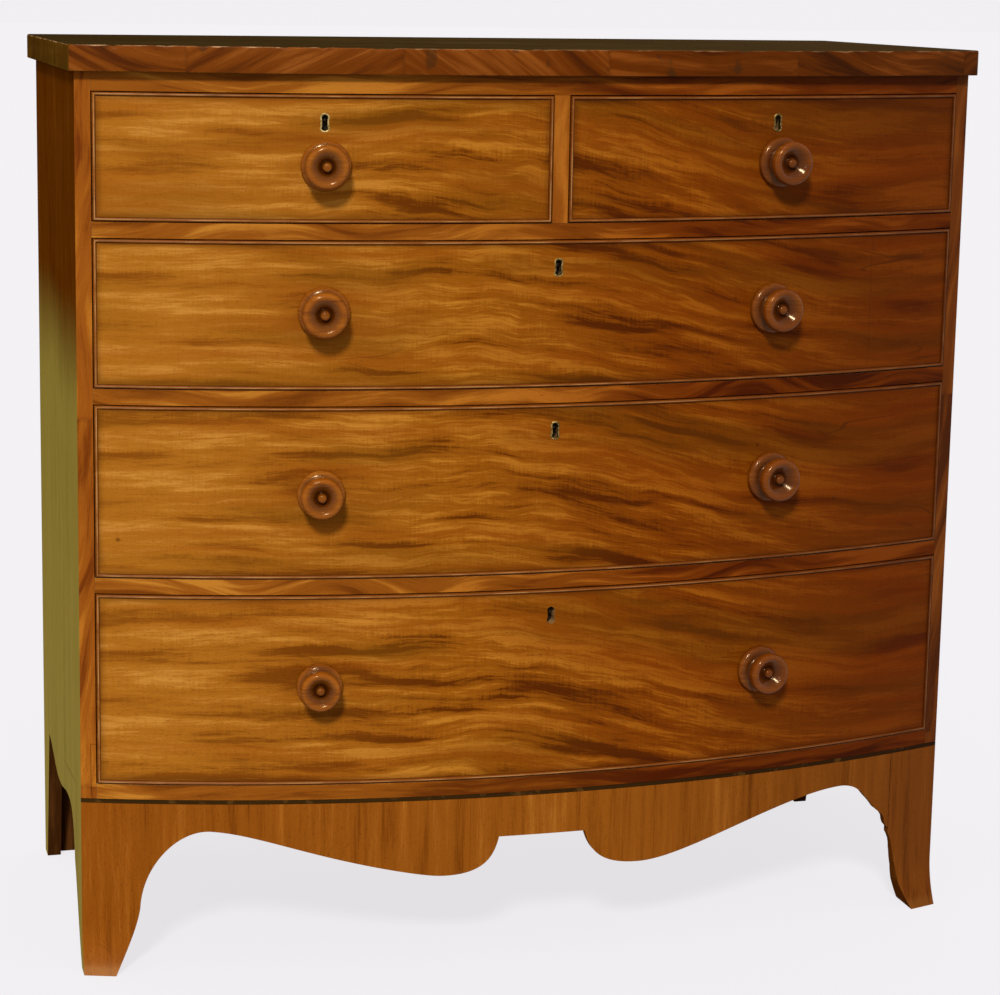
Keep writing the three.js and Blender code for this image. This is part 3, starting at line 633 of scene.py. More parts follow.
def smooth_bow(node, name, materials, body, ends, facets, depth=None, cutter=None):
    """A finer copy of a CAD node, whose flat facets along the bow become one smooth curve."""
    work = bmesh.new()
    work.from_mesh(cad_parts[node].data)
    bmesh.ops.remove_doubles(work, verts=work.verts, dist=WELD)
    bmesh.ops.dissolve_limit(work, angle_limit=radians(FLAT_ANGLE), verts=work.verts, edges=work.edges)
    left, right = ends
    step = (right - left) / facets
    for i in range(facets * CUTS_PER_FACET):
        if i % CUTS_PER_FACET:
            everything = [*work.verts, *work.edges, *work.faces]
            cut = (left + i * step / CUTS_PER_FACET, 0, 0)
            bmesh.ops.bisect_plane(work, geom=everything, dist=WELD, plane_co=cut, plane_no=(1, 0, 0))
    for vertex in work.verts:
        x = vertex.co.x
        if not left < x < right:
            continue
        facet = min(int((x - left) / step), facets - 1)
        near = left + facet * step
        chord = lerp(bow_y(near), bow_y(near + step), (x - near) / step)
        if depth is None or vertex.co.y - chord < depth:
            vertex.co.y += bow_y(x) - chord
    mesh = bpy.data.meshes.new(name)
    work.to_mesh(mesh)
    work.free()
    if cutter is not None:
        mesh = cut_away(mesh, cutter)
    settle(mesh, name, materials, body, (node,), BOW_SHARP)
    bow_normals(mesh)
    for face in mesh.polygons:
        face.material_index = 0 if face.normal.y < FRONT_FACING else len(materials) - 1


# Wear of the pieces, some of it painted shade and highlights: sizes of noises, soft steps, weights and
# tints
SCUFF = (60, 60, 60)
SCUFFED = (0.56, 0.7, 0, 0.3)
SCUFF_TINT = tone(120, 80, 34)


def wear_string(tree, colour, x, z):
    return tree.mix(tree.between(tree.noise(tree.place, SCUFF), *SCUFFED), colour, SCUFF_TINT)


# A crack that runs down and forward over the left side, as (y, z) of its ends
CRACK_TOP = (0.037, 0.192)
CRACK_FOOT = (-0.166, 0.210)
CRACK_WIDTH = 0.0016
CRACK_WANDER = (1, 45, 45)
CRACK_SWAY = (0.5, 0.008)
CRACK_SHADE = 1.4
CRACK_DARKEST = 0.9
SIDE_BORDER = (5, 5, 3)
BORDER_SWAY = (0.5, 0.1)
SIDE_OLIVE = (0, 0.55, 0, 0.52)
SIDE_BROWN = (0.62, 0.78, 0, 0.48)
SIDE_DUST = (0.62, 0.78, 0.25, 0)
DUST_ROUGHNESS = 0.35
DUST_TINT = tone(214, 212, 96)


def side_height(tree, z):
    return tree.total(z, (tree.noise(tree.place, SIDE_BORDER), *BORDER_SWAY))


def side_share(tree, x, z):
    """From the floor up: olive below, brown above, with a soft uneven border. The pale olive is partly a
    painted reflection and the dark brown partly painted shade.
    """
    height = side_height(tree, z)
    return tree.plus(tree.between(height, *SIDE_OLIVE), tree.between(height, *SIDE_BROWN))


def wear_side(tree, colour, x, z):
    """Old dusty polish shows pale along the surface of the lower part, and a crack runs over it."""
    sheen = tree.shader.inputs
    tree.plug(sheen["Sheen Weight"], tree.between(side_height(tree, z), *SIDE_DUST))
    sheen["Sheen Roughness"].default_value = DUST_ROUGHNESS
    sheen["Sheen Tint"].default_value = DUST_TINT
    y = tree.axes["Y"]
    (top_y, top_z), (foot_y, foot_z) = CRACK_TOP, CRACK_FOOT
    line = tree.line(tree.less(y, top_y), (foot_z - top_z) / (foot_y - top_y), top_z)
    away = tree.total(tree.less(z, line), (tree.noise(tree.place, CRACK_WANDER), *CRACK_SWAY))
    span = tree.times(tree.near(y, (top_y + foot_y) / 2, (top_y - foot_y) / 2), CRACK_SHADE)
    shade = tree.times(tree.near(away, 0, CRACK_WIDTH), span)
    return tree.mix(tree.least(shade, CRACK_DARKEST), colour, DARK_LINE)


# A patch let into the inner edge of the left stile, above the bottom rail
PATCH_SIDE = -0.5138
PATCH_LOW = 0.206
PATCH_HIGH = 0.268
PATCH_LINE = 0.0007
PATCH_SHADE = 0.75


def wear_stile(tree, colour, x, z):
    """A thin dark line runs round the patch."""
    upright = tree.times(
        tree.near(x, PATCH_SIDE, PATCH_LINE), tree.between(z, PATCH_HIGH, PATCH_HIGH + PATCH_LINE, 1, 0),
        tree.between(z, PATCH_LOW - PATCH_LINE, PATCH_LOW))
    level = tree.times(
        tree.near(z, PATCH_HIGH, PATCH_LINE), tree.between(x, PATCH_SIDE - PATCH_LINE, PATCH_SIDE),
        tree.between(x, 0, PATCH_LINE, 1, 0))
    return tree.mix(tree.times(tree.most(upright, level), PATCH_SHADE), colour, DARK_LINE)


TOE_RAGS = (90, 90, 30)
TOE_SWAY = (0.5, 0.006)
TOE_WORN = (0.0055, 0.0143, 0.32, 0)
TOE_SIDE = (-0.3, -0.2, 1, 0.25)


def wear_foot(tree, colour, x, z):
    """The toes are rubbed pale, the left one most."""
    height = tree.total(z, (tree.noise(tree.place, TOE_RAGS), *TOE_SWAY))
    worn = tree.times(tree.between(height, *TOE_WORN), tree.between(x, *TOE_SIDE))
    return tree.mix(worn, colour, PALE_FOOT)


BEAD_RUB = (26, 26, 26)
BEAD_RUBBED_AND_LIT = (0.4, 0.62, 0.25, 0.8)
BEAD_SIDE = (-0.15, 0.4, 1, 0.3)
BEAD_FOOT_SHADE = (0, 0.4, 0.48, 0)
BEAD_NOSE_HIGHLIGHT = (0.88, 0.99)


def wear_and_light_bead(tree, colour, x, z):
    """The nose of a bead is rubbed light, partly wear and partly a painted highlight that is strongest on
    the left, and painted shade lies along its foot.
    """
    rubbed_and_lit = tree.between(tree.noise(tree.place, BEAD_RUB), *BEAD_RUBBED_AND_LIT)
    crest = tree.attribute("crest")
    # Painted shade at the foot of the nose, then a painted highlight along its crest, strongest on the left
    # half
    colour = tree.mix(tree.between(crest, *BEAD_FOOT_SHADE), colour, DARK_LINE)
    nose = tree.times(tree.between(crest, *BEAD_NOSE_HIGHLIGHT), rubbed_and_lit, tree.between(x, *BEAD_SIDE))
    return tree.mix(nose, colour, RUBBED_AND_HIGHLIGHT)


def shade_and_polish_knob(tree, colour, x, z):
    """Old polish lies dark in the hollows of the turning, with painted shade in the groove behind the head
    and on the flange, and shines warm.
    """
    tree.shader.inputs["Specular Tint"].default_value = KNOB_SHINE
    return tree.mix(tree.attribute("hollow"), colour, KNOB_HOLLOW_AND_SHADE)


EDGE_RAGS = ((46, 46, 200), 3)
EDGE_SWAY = (0.5, 0.008)
EDGE_RUBBED_AND_LIT = (top_high.z - 0.0016, top_high.z - 0.0002, 0, 0.7)
EDGE_SIDE = (-0.25, -0.1, 1, 0.3)
STAIN = (30, 30, 30)
EDGE_STAINED = (0.64, 0.72, 0, 0.55)
STAIN_TINT = tone(52, 34, 14)


def wear_and_highlight_edge(tree, colour, x, z):
    """The upper arris is rubbed pale here and there, partly wear and partly a painted highlight on its left
    part, and stains lie on the edge.
    """
    line = tree.total(z, (tree.noise(tree.place, *EDGE_RAGS), *EDGE_SWAY))
    # Pale wear and painted highlight along the upper arris, fading towards the right
    rubbed_and_lit = tree.times(tree.between(line, *EDGE_RUBBED_AND_LIT), tree.between(x, *EDGE_SIDE))
    stains = tree.between(tree.noise(tree.place, STAIN), *EDGE_STAINED)
    return tree.mix(rubbed_and_lit, tree.mix(stains, colour, STAIN_TINT), PALE_WEAR_AND_HIGHLIGHT)


# Plain woods, as (palette, grain, seed, roughness, specular level, contrast, wear and painted light,
# grading, pores)
PLAIN_WOODS = {
    "side_left": (LEFT_SIDE, "z", 5, 0.5, 0, 0.9, wear_side, side_share, 0.08),
    "side_right": (RIGHT_SIDE, "z", 5.5, 0.5, 0, 0.7),
    "top_surface": (TOP, "x", 6, 0.5, 0, 0.8),
    "top_side": (TOP_SIDE, "y", 7.5, 0.45, 0, 0.8, wear_and_highlight_edge),
    "apron_veneer": (APRON, "z", 8, 0.38, 0.03, 0.8, wear_foot),
    "apron_sawn_edge": (APRON, "z", 8.5, 0.6, 0, 0.8),
    "cockbead": (BEAD, "x", 9, 0.3, 0.06, 0.6, wear_and_light_bead),
    "knob": (KNOB, "x", 10, 0.17, 0.26, 0.7, shade_and_polish_knob),
    "stringing": (STRING, "x", 11, 0.45, 0.02, 0.5, wear_string),
    "pine": (PINE, "x", 12, 0.72, 0.1, 0.8),
    "pine_upright": (PINE, "z", 12.5, 0.72, 0.1, 0.8),
    "oak": (OAK, "y", 13, 0.7, 0.1, 0.8),
    "oak_across": (OAK, "x", 14, 0.7, 0.1, 0.8),
    "old_iron": (IRON, "x", 15, 0.5, 0.1, 0.6),
    "dark_wood": (DARK_WOOD, "z", 16, 0.6, 0, 0.9),
}
# Banded veneers, as (palette, grain, seed, length, lean, sweep, contrast, middle, wear and painted light)
BANDED_VENEERS = {
    "stile_veneer": (STILE, "z", 4, 0.42, 0.3, 0.07, 2.3, 0.5, wear_stile),
    "top_edge": (TOP_EDGE, "x", 7.5207, 0.23, 0.8, 0.09, 2.2, 0.5, wear_and_highlight_edge),
}
# Seed, sweep and middle of the figure of each rail's front edge, which is one length of veneer
RAILS = {
    "carcase_bottom": (4.6, 0.07, 0.36),
    "blade_3": (3.4, 0.12, 0.53),
    "blade_2": (6.1, 0.13, 0.43),
    "blade_1": (7.45, 0.12, 0.5),
    "top_rail": (8.7, 0.08, 0.5),
}
RAIL_LENGTH = 3
RAIL_CONTRAST = 2.7
woods = {name: plain_wood(name, *settings) for name, settings in PLAIN_WOODS.items()}
woods |= {name: banded_veneer(name, *settings) for name, settings in BANDED_VENEERS.items()}
BRASS_CLOUD = ((420, 420, 420), 4, 0.6)
BRASS_PLACES = (0.28, 0.5, 0.7)
BRASS_TONES = palette(((88, 70, 34), (176, 148, 88), (224, 202, 146)))[0]
BRASS_GLOSS = (0.3, 0.3)
BRASS_SPECULAR = 0.5
BRASS_STRENGTH = 0.4


def brass_metal(name, dull):
    tree = Tree(bpy.data.materials.new(name))
    cloud = tree.less(tree.noise(tree.place, *BRASS_CLOUD), dull)
    colour = tree.ramp(cloud, BRASS_PLACES, BRASS_TONES)
    return tree.finish(colour, tree.line(cloud, *BRASS_GLOSS), BRASS_SPECULAR, cloud, BRASS_STRENGTH, 1)


brass = brass_metal("brass", 0)
dull_brass = brass_metal("dull_brass", 0.17)

# Shelves and rails: the front edge is veneered, the rest is pine
SHELF_FACETS = 16
FACE_DEPTH = 0.001
shelf_ends = (-INNER_HALF + SEAM, INNER_HALF - SEAM)
for rail, (seed, sweep, middle) in RAILS.items():
    veneer = banded_veneer(f"{rail}_veneer", RAIL, "x", seed, RAIL_LENGTH, 0, sweep, RAIL_CONTRAST, middle)
    smooth_bow(
        rail, f"{rail}_front", [veneer, woods["pine"]], "carcase", shelf_ends, SHELF_FACETS,
        FACE_DEPTH)
smooth_bow(
    "stringing", "stringing_line", [woods["stringing"]], "carcase", (-HALF_WIDTH, HALF_WIDTH),
    SHELF_FACETS)

# Feet and apron, on the same curves as the solids
SPLAY = 0.017
SPLAY_HEIGHT = 0.058
SPLAY_POWER = 2.1
APRON_THICKNESS = 0.010
FOOT_SWELL = 0.017
FOOT_SWELL_HEIGHT = 0.084
MITRE_DEPTH = 0.009
# Places on the lower edge: out from the middle or in from the corner, and down from the rail
NOTCH_OUT, NOTCH_DOWN = 0.05, 0.0477
DROP_OUT, DROP_DOWN = 0.118, 0.0912
CREST_IN, CREST_DOWN = 0.142, 0.0307
ANKLE_IN, ANKLE_SHARE = 0.064, 0.38
TOE_WIDTH = 0.035
# Curves from the notch out to the toe: the end of each and its two handles
APRON_CURVES = (
    ((DROP_OUT, FOOT_HEIGHT - DROP_DOWN), ((0.09, 0.55), (0.265, 1))),
    ((HALF_WIDTH - CREST_IN, FOOT_HEIGHT - CREST_DOWN), ((0.215, 0), (0.687, 1))),
    ((HALF_WIDTH - ANKLE_IN, ANKLE_SHARE * FOOT_HEIGHT), ((0.46, 0), (0.97, 0.45))),
    ((HALF_WIDTH - TOE_WIDTH, 0), ((0.12, 0.3), (0.42, 0.6))))
STRING_GROOVE = 0.0033
STRING_LOW = FOOT_HEIGHT - SEAM
NOTCH_STEPS = 5
TOE_STEPS = 6
FOOT_ROWS = 30
BODY_ROWS = 12
EDGE_FACING = -0.5


def splay_at(height):
    return SPLAY * max(0, 1 - height / SPLAY_HEIGHT) ** SPLAY_POWER


def foot_back(height):
    return APRON_THICKNESS + FOOT_SWELL * max(0, 1 - height / FOOT_SWELL_HEIGHT)


def mitre_y(height):
    return bow_y(INNER_HALF) + MITRE_DEPTH - splay_at(height)


def apron_edge():
    """Lower edge of the apron, from its middle out to the corner, as (x, z)."""
    notch = [(x, FOOT_HEIGHT - NOTCH_DOWN) for x in spread(0, NOTCH_OUT, NOTCH_STEPS)]
    points = bent(notch, APRON_CURVES)
    return points + [(x, 0) for x in spread(points[-1][0], HALF_WIDTH, TOE_STEPS)[1:]]


def rows_between(bottom, top):
    """Heights from the lower edge to the upper one, closer together in the foot."""
    if bottom >= SPLAY_HEIGHT:
        return spread(bottom, top, FOOT_ROWS + BODY_ROWS)
    return spread(bottom, SPLAY_HEIGHT, FOOT_ROWS) + spread(SPLAY_HEIGHT, top, BODY_ROWS)[1:]


# The two halves of the apron aren't quite alike. The left one hangs lower on its slope
SAG = 0.0072
SAG_MIDDLE = -0.275
SAG_REACH = 0.16
NOTCH_SHIFTS = {-1: 0.006, 1: 0.003}
SHIFT_REACH = 0.1
# The inner edge of the right foot is worn and chipped, as height and shift to the right in millimetres
RIGHT_FOOT = (
    (0, 0), (30, 1), (50, 4), (70, 4), (90, 2), (99, -1), (104, 1.5), (109, -1.5), (117, -1.5), (121, 1),
    (125, -1), (133, -6), (150, -6), (166, 0),
)


def as_cut(x, z):
    """Where a point of the symmetrical edge really lies."""
    if z <= 0:
        return x, z
    near_sag = max(0, 1 - abs(x - SAG_MIDDLE) / SAG_REACH)
    near_notch = max(0, 1 - abs(abs(x) - NOTCH_OUT) / SHIFT_REACH)
    x -= NOTCH_SHIFTS[1 if x > 0 else -1] * near_notch
    z -= SAG * sin(near_sag * pi / 2) ** 2
    height = z / MILLIMETRE
    for (lower, first), (upper, second) in zip(RIGHT_FOOT, RIGHT_FOOT[1:]):
        if x >= HALF_WIDTH - CREST_IN and lower <= height < upper:
            return x + lerp(first, second, (height - lower) / (upper - lower)) * MILLIMETRE, z
    return x, z


def apron():
    half = apron_edge()
    edge = [(-x, z) for x, z in reversed(half[1:])] + half
    toe = HALF_WIDTH - TOE_WIDTH
    end = INNER_HALF - SEAM
    squeeze = (HALF_WIDTH - end) / (HALF_WIDTH - toe)
    outer, inner = [], []
    for place in edge:
        x, z = as_cut(*place)
        heights = rows_between(z, STRING_LOW)
        groove = [STRING_LOW, CARCASE_BASE - SEAM]
        column = [Vector((x, bow_y(x) - splay_at(h), h)) for h in heights]
        outer.append(column + [Vector((x, bow_y(x) + STRING_GROOVE, h)) for h in groove])
        back = copysign(min(abs(x), toe) + max(0, abs(x) - toe) * (1 - squeeze), x)
        inner.append([Vector((back, bow_y(back) + foot_back(h), h)) for h in heights + groove])
    for index, hand in ((0, -1), (len(outer), 1)):
        column = outer[min(index, len(outer) - 1)]
        outer.insert(index, [corner.copy() for corner in column])
        inner.insert(index, [Vector((hand * INNER_HALF, mitre_y(corner.z), corner.z)) for corner in column])
    materials = [woods[name] for name in ("apron_veneer", "dark_wood", "apron_sawn_edge")]
    thing = piece("apron_board", *slab(outer, inner), materials, "carcase", "apron", "apron")
    for face in thing.data.polygons:
        if face.normal.y > FRONT_FACING:
            face.material_index = 1 if face.normal.x > EDGE_FACING else 2
    ease(thing)


apron()

# Sides
SIDE_TOE_REACH = 0.005
SIDE_REAR_FOOT = 0.026
# Places on the lower edge: back from the front corner or in from the rear one, and down from the rail
SIDE_ANKLE_BACK, SIDE_ANKLE_SHARE = 0.068, 0.54
FRONT_CREST_BACK, FRONT_CREST_DOWN = 0.122, 0.0345
SIDE_DROP_SHARE, SIDE_DROP_DOWN = 0.575, 0.0473
REAR_CREST_IN, REAR_CREST_DOWN = 0.066, 0.0242
# Curves from the toe back to the rear crest: the end of each and its two handles
SIDE_CURVES = (
    ((SIDE_ANKLE_BACK, SIDE_ANKLE_SHARE * FOOT_HEIGHT), ((0.4, 0.25), (0.67, 0.75))),
    ((FRONT_CREST_BACK, FOOT_HEIGHT - FRONT_CREST_DOWN), ((0.08, 0.45), (0.2, 1))),
    ((SIDE_DROP_SHARE * SIDE_DEPTH, FOOT_HEIGHT - SIDE_DROP_DOWN), ((0.45, 0), (0.5, 1))),
    ((SIDE_DEPTH - REAR_CREST_IN, FOOT_HEIGHT - REAR_CREST_DOWN), ((0.35, 0), (0.55, 0.8))))
SIDE_TOE_STEPS = 3
REAR_STEPS = 12
REBATE_WIDTH = 0.008
OUTWARD = 0.5
REBATE_DEPTH = BACK_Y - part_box("back_panel")[0].y + SEAM
UPPER_ROWS = 20


def side_edge():
    """Lower edge of a side, from the corner of the front foot to the back, as (depth, z)."""
    points = bent([(y, 0) for y in spread(0, SIDE_TOE_REACH, SIDE_TOE_STEPS)], SIDE_CURVES)
    crest = points[-1]
    rear = SIDE_DEPTH - SIDE_REAR_FOOT
    points += [(lerp(crest[0], rear, t), lerp(crest[1], 0, t)) for t in spread(0, 1, REAR_STEPS)[1:]]
    rebate = SIDE_DEPTH - REBATE_DEPTH
    return points + [(y, 0) for y in (rebate, rebate, (rebate + SIDE_DEPTH) / 2, SIDE_DEPTH)]


def side(hand, name, node):
    upper = bow_y(INNER_HALF) - CORNER_Y
    outer, inner = [], []
    rebated = 0
    for depth, z in side_edge():
        lead = max(0, 1 - depth / SIDE_TOE_REACH)
        foot = rows_between(z, STRING_LOW)
        rows = [(h, SEAM - splay_at(h), SEAM + mitre_y(h) - CORNER_Y) for h in foot]
        for h in (STRING_LOW, CARCASE_BASE):
            rows.append((h, STRING_GROOVE, max(upper + STRING_GROOVE, SEAM + mitre_y(h) - CORNER_Y)))
        rows += [(h, 0, upper) for h in spread(CARCASE_BASE, CARCASE_TOP, UPPER_ROWS)]
        if depth >= SIDE_DEPTH - REBATE_DEPTH:
            rebated += 1
        column, behind = [], []
        for index, (height, front_out, front_in) in enumerate(rows):
            cut = REBATE_WIDTH if rebated > 1 and index > len(foot) + 1 else 0
            column.append(Vector((hand * HALF_WIDTH, CORNER_Y + depth + front_out * lead, height)))
            behind.append(Vector((hand * (INNER_HALF + cut), CORNER_Y + depth + front_in * lead, height)))
        outer.append(column)
        inner.append(behind)
    materials = [woods[node], woods["stile_veneer"], woods["dark_wood"]]
    thing = piece(name, *slab(outer, inner), materials, "carcase", "side", node)
    for face in thing.data.polygons:
        if face.normal.y < FRONT_FACING and face.center.z > CARCASE_BASE:
            face.material_index = 1
        elif hand * face.normal.x < OUTWARD and face.center.z < CARCASE_BASE:
            face.material_index = 2
    ease(thing)


side(-1, "left_side", "side_left")
side(1, "right_side", "side_right")

# Top board, with rounded corners and an upper arris that is worn and nicked
TOP_UPPER_ARRIS = 0.0018
TOP_LOWER_ARRIS = 0.001
TOP_UPPER_STEPS = 6
TOP_LOWER_STEPS = 3
TOP_CORNER = 0.005
TOP_FACING = 0.75
WEAR_SEED = 7
WEAR_WAVES = (3, 7, 13, 29, 47)
WEAR_LIFT = 0.4
ARRIS_WEAR = 0.0012
NICK_COUNT = 26
NICK_DEPTHS = (0.001, 0.004)
NICK_REACHES = (0.003, 0.009)
EDGE_STATIONS = 360
CORNER_STEPS = 6


def top_outline(inset):
    """Plan of the top, set in by a distance, with rounded corners."""
    reach = top_high.x - inset
    radius = TOP_CORNER - inset

    def front_y(x):
        return bow_y(x * HALF_WIDTH / top_high.x) - TOP_FRONT + inset

    def quarter(cx, cy, start, drop):
        points = []
        for i, a in enumerate(spread(0, pi / 2, CORNER_STEPS)):
            lead = abs(drop - i / CORNER_STEPS) if drop is not None else 0
            x, y = cx + radius * cos(start + a), cy + radius * sin(start + a)
            points.append((x, y + slope * lead))
        return points

    near = reach - radius
    corner_y = front_y(reach)
    slope = front_y(near) - corner_y
    points = [(x, front_y(x)) for x in spread(-near, near, EDGE_STATIONS)][1:-1]
    points += quarter(near, corner_y + radius, -pi / 2, 1)
    points += quarter(near, top_high.y - inset - radius, 0, None)
    points += quarter(-near, top_high.y - inset - radius, pi / 2, None)
    points += quarter(-near, corner_y + radius, pi, 0)
    return points


def arris_wear(count):
    """How much deeper the upper arris is worn at each station round the top."""
    chance = random.Random(WEAR_SEED)
    phases = [(chance.uniform(0, 2 * pi), frequency) for frequency in WEAR_WAVES]
    wear = []
    for i in range(count):
        waves = [sin(phase + 2 * pi * frequency * i / count) for phase, frequency in phases]
        wear.append(ARRIS_WEAR * (sum(waves) / len(waves) + WEAR_LIFT))
    for _ in range(NICK_COUNT):
        middle = chance.uniform(0, EDGE_STATIONS)
        depth = chance.uniform(*NICK_DEPTHS)
        reach = chance.uniform(*NICK_REACHES) * EDGE_STATIONS / (2 * top_high.x)
        for i in range(count):
            wear[i] += depth * max(0, 1 - abs(i - middle) / reach)
    return [max(0, entry) for entry in wear]


def top_board():
    rings = []
    for a in spread(0, pi / 2, TOP_LOWER_STEPS):
        inset = TOP_LOWER_ARRIS * (1 - sin(a))
        z = top_low.z + TOP_LOWER_ARRIS * (1 - cos(a))
        rings.append([(x, y, z) for x, y in top_outline(inset)])
    sharp = top_outline(0)
    deep = top_outline(TOP_UPPER_ARRIS)
    wear = arris_wear(len(sharp))
    for a in spread(0, pi / 2, TOP_UPPER_STEPS):
        ring = []
        for (x, y), (u, v), worn in zip(sharp, deep, wear):
            size = TOP_UPPER_ARRIS + worn
            inset = size * (1 - cos(a)) / TOP_UPPER_ARRIS
            ring.append((lerp(x, u, inset), lerp(y, v, inset), top_high.z - size * (1 - sin(a))))
        rings.append(ring)
    materials = [woods["top_surface"], woods["top_edge"], woods["top_side"]]
    thing = piece("top_slab", *loops(rings, closed=False), materials, "carcase", "top", "top_board")
    for face in thing.data.polygons:
        if abs(face.normal.z) < TOP_FACING:
            face.material_index = 1 if face.normal.y < FRONT_FACING else 2


top_board()

# Cockbeads, with a rounded nose
BEAD_WIDTH = 0.0038
BEAD_PROUD = 0.0024
BEAD_DEPTH = 0.008
BEAD_STATIONS = 96
NOSE_STEPS = 6


def cockbead(name, body):
    lowest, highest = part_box(f"{name}_cockbead")
    radius = BEAD_WIDTH / 2
    spring = BEAD_PROUD - radius
    turns = spread(0, pi, NOSE_STEPS)
    nose = [(radius - radius * cos(a), -spring - radius * sin(a)) for a in turns]
    section = [(0, BEAD_DEPTH), *nose, (BEAD_WIDTH, BEAD_DEPTH)]
    crests = [0, *[sin(a) for a in turns], 0]
    rings = []
    for upper in (False, True):
        shares = spread(0, 1, BEAD_STATIONS)
        for share in reversed(shares) if upper else shares:
            ring = []
            for inset, setback in section:
                x = lerp(lowest.x + inset, highest.x - inset, share)
                ring.append((x, bow_y(x) + setback, highest.z - inset if upper else lowest.z + inset))
            rings.append(ring)
    thing = piece(f"{name}_bead", *loops(rings), [woods["cockbead"]], body, "cockbead", f"{name}_cockbead")
    paint(thing, "crest", crests * len(rings))


# Turned knobs, as radii and distances out from the drawer front in millimetres, and how dark each ring is
# painted, for old polish in the hollows and partly as painted shade
KNOB_REACH = 0.263
KNOB_SIDES = 72
KNOB_SHARP = radians(60)
PEG_RADIUS = 7
KNOB_PROFILE = (
    (0, -12, 0), (PEG_RADIUS, -12, 0), (PEG_RADIUS, 0.3, 0), (26.8, 0.3, 0.7), (28.2, 0.8, 0.6),
    (29, 2.2, 0.35), (29, 4.2, 0.25), (28.4, 6.2, 0.1), (26.8, 8, 0.2), (24, 9.3, 0.5), (20.5, 10.2, 0.8),
    (18, 11.4, 0.9), (16.7, 13.2, 0.95), (16.5, 14.8, 0.95), (17.2, 16.2, 0.9), (19.2, 17.2, 0.8),
    (21.5, 18.2, 0.6), (23.5, 19.8, 0.45), (24.8, 22.2, 0.3), (25.2, 25, 0.2), (25.1, 27.6, 0.1),
    (24.3, 30, 0), (22.9, 31.8, 0), (21.2, 32.6, 0), (19.5, 32.6, 0.1), (17.6, 31.8, 0.25),
    (15.6, 30.4, 0.4), (13.6, 28.8, 0.55), (11.8, 27.4, 0.65), (10.2, 26.2, 0.75), (9, 25, 0.85),
    (7.8, 23.8, 0.95), (6.6, 23.2, 0.95), (5.8, 23.8, 0.9), (5.6, 25.2, 0.75), (5.4, 26.6, 0.55),
    (4.6, 28, 0.35), (3, 28.8, 0.25), (0, 29.1, 0.2),
)
# How far each head sits off its peg, to the right and up in millimetres, and its size against the profile's
KNOB_FITS = {
    "short_left_knob": (2.6, -3.6, 0.96),
    "short_right_knob": (4, -1.7, 1),
    "long_1_knob_left": (1.5, -0.4, 1),
    "long_1_knob_right": (-0.6, -4.5, 1),
    "long_2_knob_left": (-0.5, -6.8, 0.93),
    "long_2_knob_right": (3.6, -5.4, 1),
    "long_3_knob_left": (-0.8, 0.5, 0.9),
    "long_3_knob_right": (-1.6, -8.8, 0.96),
}


def knob(node, body):
    x = -KNOB_REACH if "left" in node else KNOB_REACH
    lowest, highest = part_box(node)
    level = (lowest.z + highest.z) / 2
    out, across = bow_axes(x)
    up = Vector((0, 0, 1))
    peg = Vector((x, bow_y(x), level))
    aside, rise, size = KNOB_FITS[node]
    head_x = x + aside * MILLIMETRE
    head = Vector((head_x, max(bow_y(x), bow_y(head_x)), level + rise * MILLIMETRE))
    turns = [across * cos(a) + up * sin(a) for a in spread(0, 2 * pi, KNOB_SIDES)[:-1]]
    rings, polish_and_shade_values = [], []
    for radius, height, hollow in KNOB_PROFILE[1:-1]:
        foot, reach = (peg, radius) if radius == PEG_RADIUS else (head, radius * size)
        rings.append([foot + (out * height + turn * reach) * MILLIMETRE for turn in turns])
        polish_and_shade_values += [hollow] * KNOB_SIDES
    vertices, faces = loops(rings, closed=False, caps=False)
    last = len(vertices) - KNOB_SIDES
    for foot, (_, height, hollow), start in ((peg, KNOB_PROFILE[0], 0), (head, KNOB_PROFILE[-1], last)):
        vertices.append(foot + out * height * MILLIMETRE)
        polish_and_shade_values.append(hollow)
        for i in range(KNOB_SIDES):
            faces.append((len(vertices) - 1, start + i, start + (i + 1) % KNOB_SIDES))
    name = node.replace("knob", "turned_knob")
    thing = piece(name, vertices, faces, [woods["knob"]], body, "knob", node)
    thing.data.set_sharp_from_angle(angle=KNOB_SHARP)
    paint(thing, "hollow", polish_and_shade_values)


# Keyholes and their brass linings, as (across, up) from the middle of the round end
KEY_DROP = 0.025
KEY_ROUND = 0.0035
KEY_WAIST = 0.003
KEY_FOOT = 0.0037
KEY_LENGTH = 0.0147
KEY_OPENING = radians(60)
KEY_WAIST_SHARES = (0.42, 0.58)
KEY_FOOT_SQUASH = 0.85
KEY_STEPS = 18
RIM = 0.0018
RIM_PROUD = 0.0003
RIM_DEPTH = 0.004
CUT_FRONT = 0.004
CUT_BACK = 0.0145
LINING_PROFILE = (
    (0, -RIM_DEPTH), (0, RIM_PROUD / 2), (RIM / 4, RIM_PROUD), (3 * RIM / 4, RIM_PROUD), (RIM, 0),
    (RIM, -RIM_DEPTH))


def keyhole_shape(grow):
    points = []
    for a in spread(-pi / 2 + KEY_OPENING, 1.5 * pi - KEY_OPENING, KEY_STEPS):
        points.append(((KEY_ROUND + grow) * cos(a), (KEY_ROUND + grow) * sin(a)))
    waist = KEY_WAIST + grow
    foot = KEY_FOOT + grow
    points += [(-waist, -KEY_LENGTH * share) for share in KEY_WAIST_SHARES]
    for a in spread(pi, 2 * pi, KEY_STEPS):
        points.append((foot * cos(a), KEY_FOOT - KEY_LENGTH + foot * KEY_FOOT_SQUASH * sin(a)))
    return points + [(waist, -KEY_LENGTH * share) for share in reversed(KEY_WAIST_SHARES)]


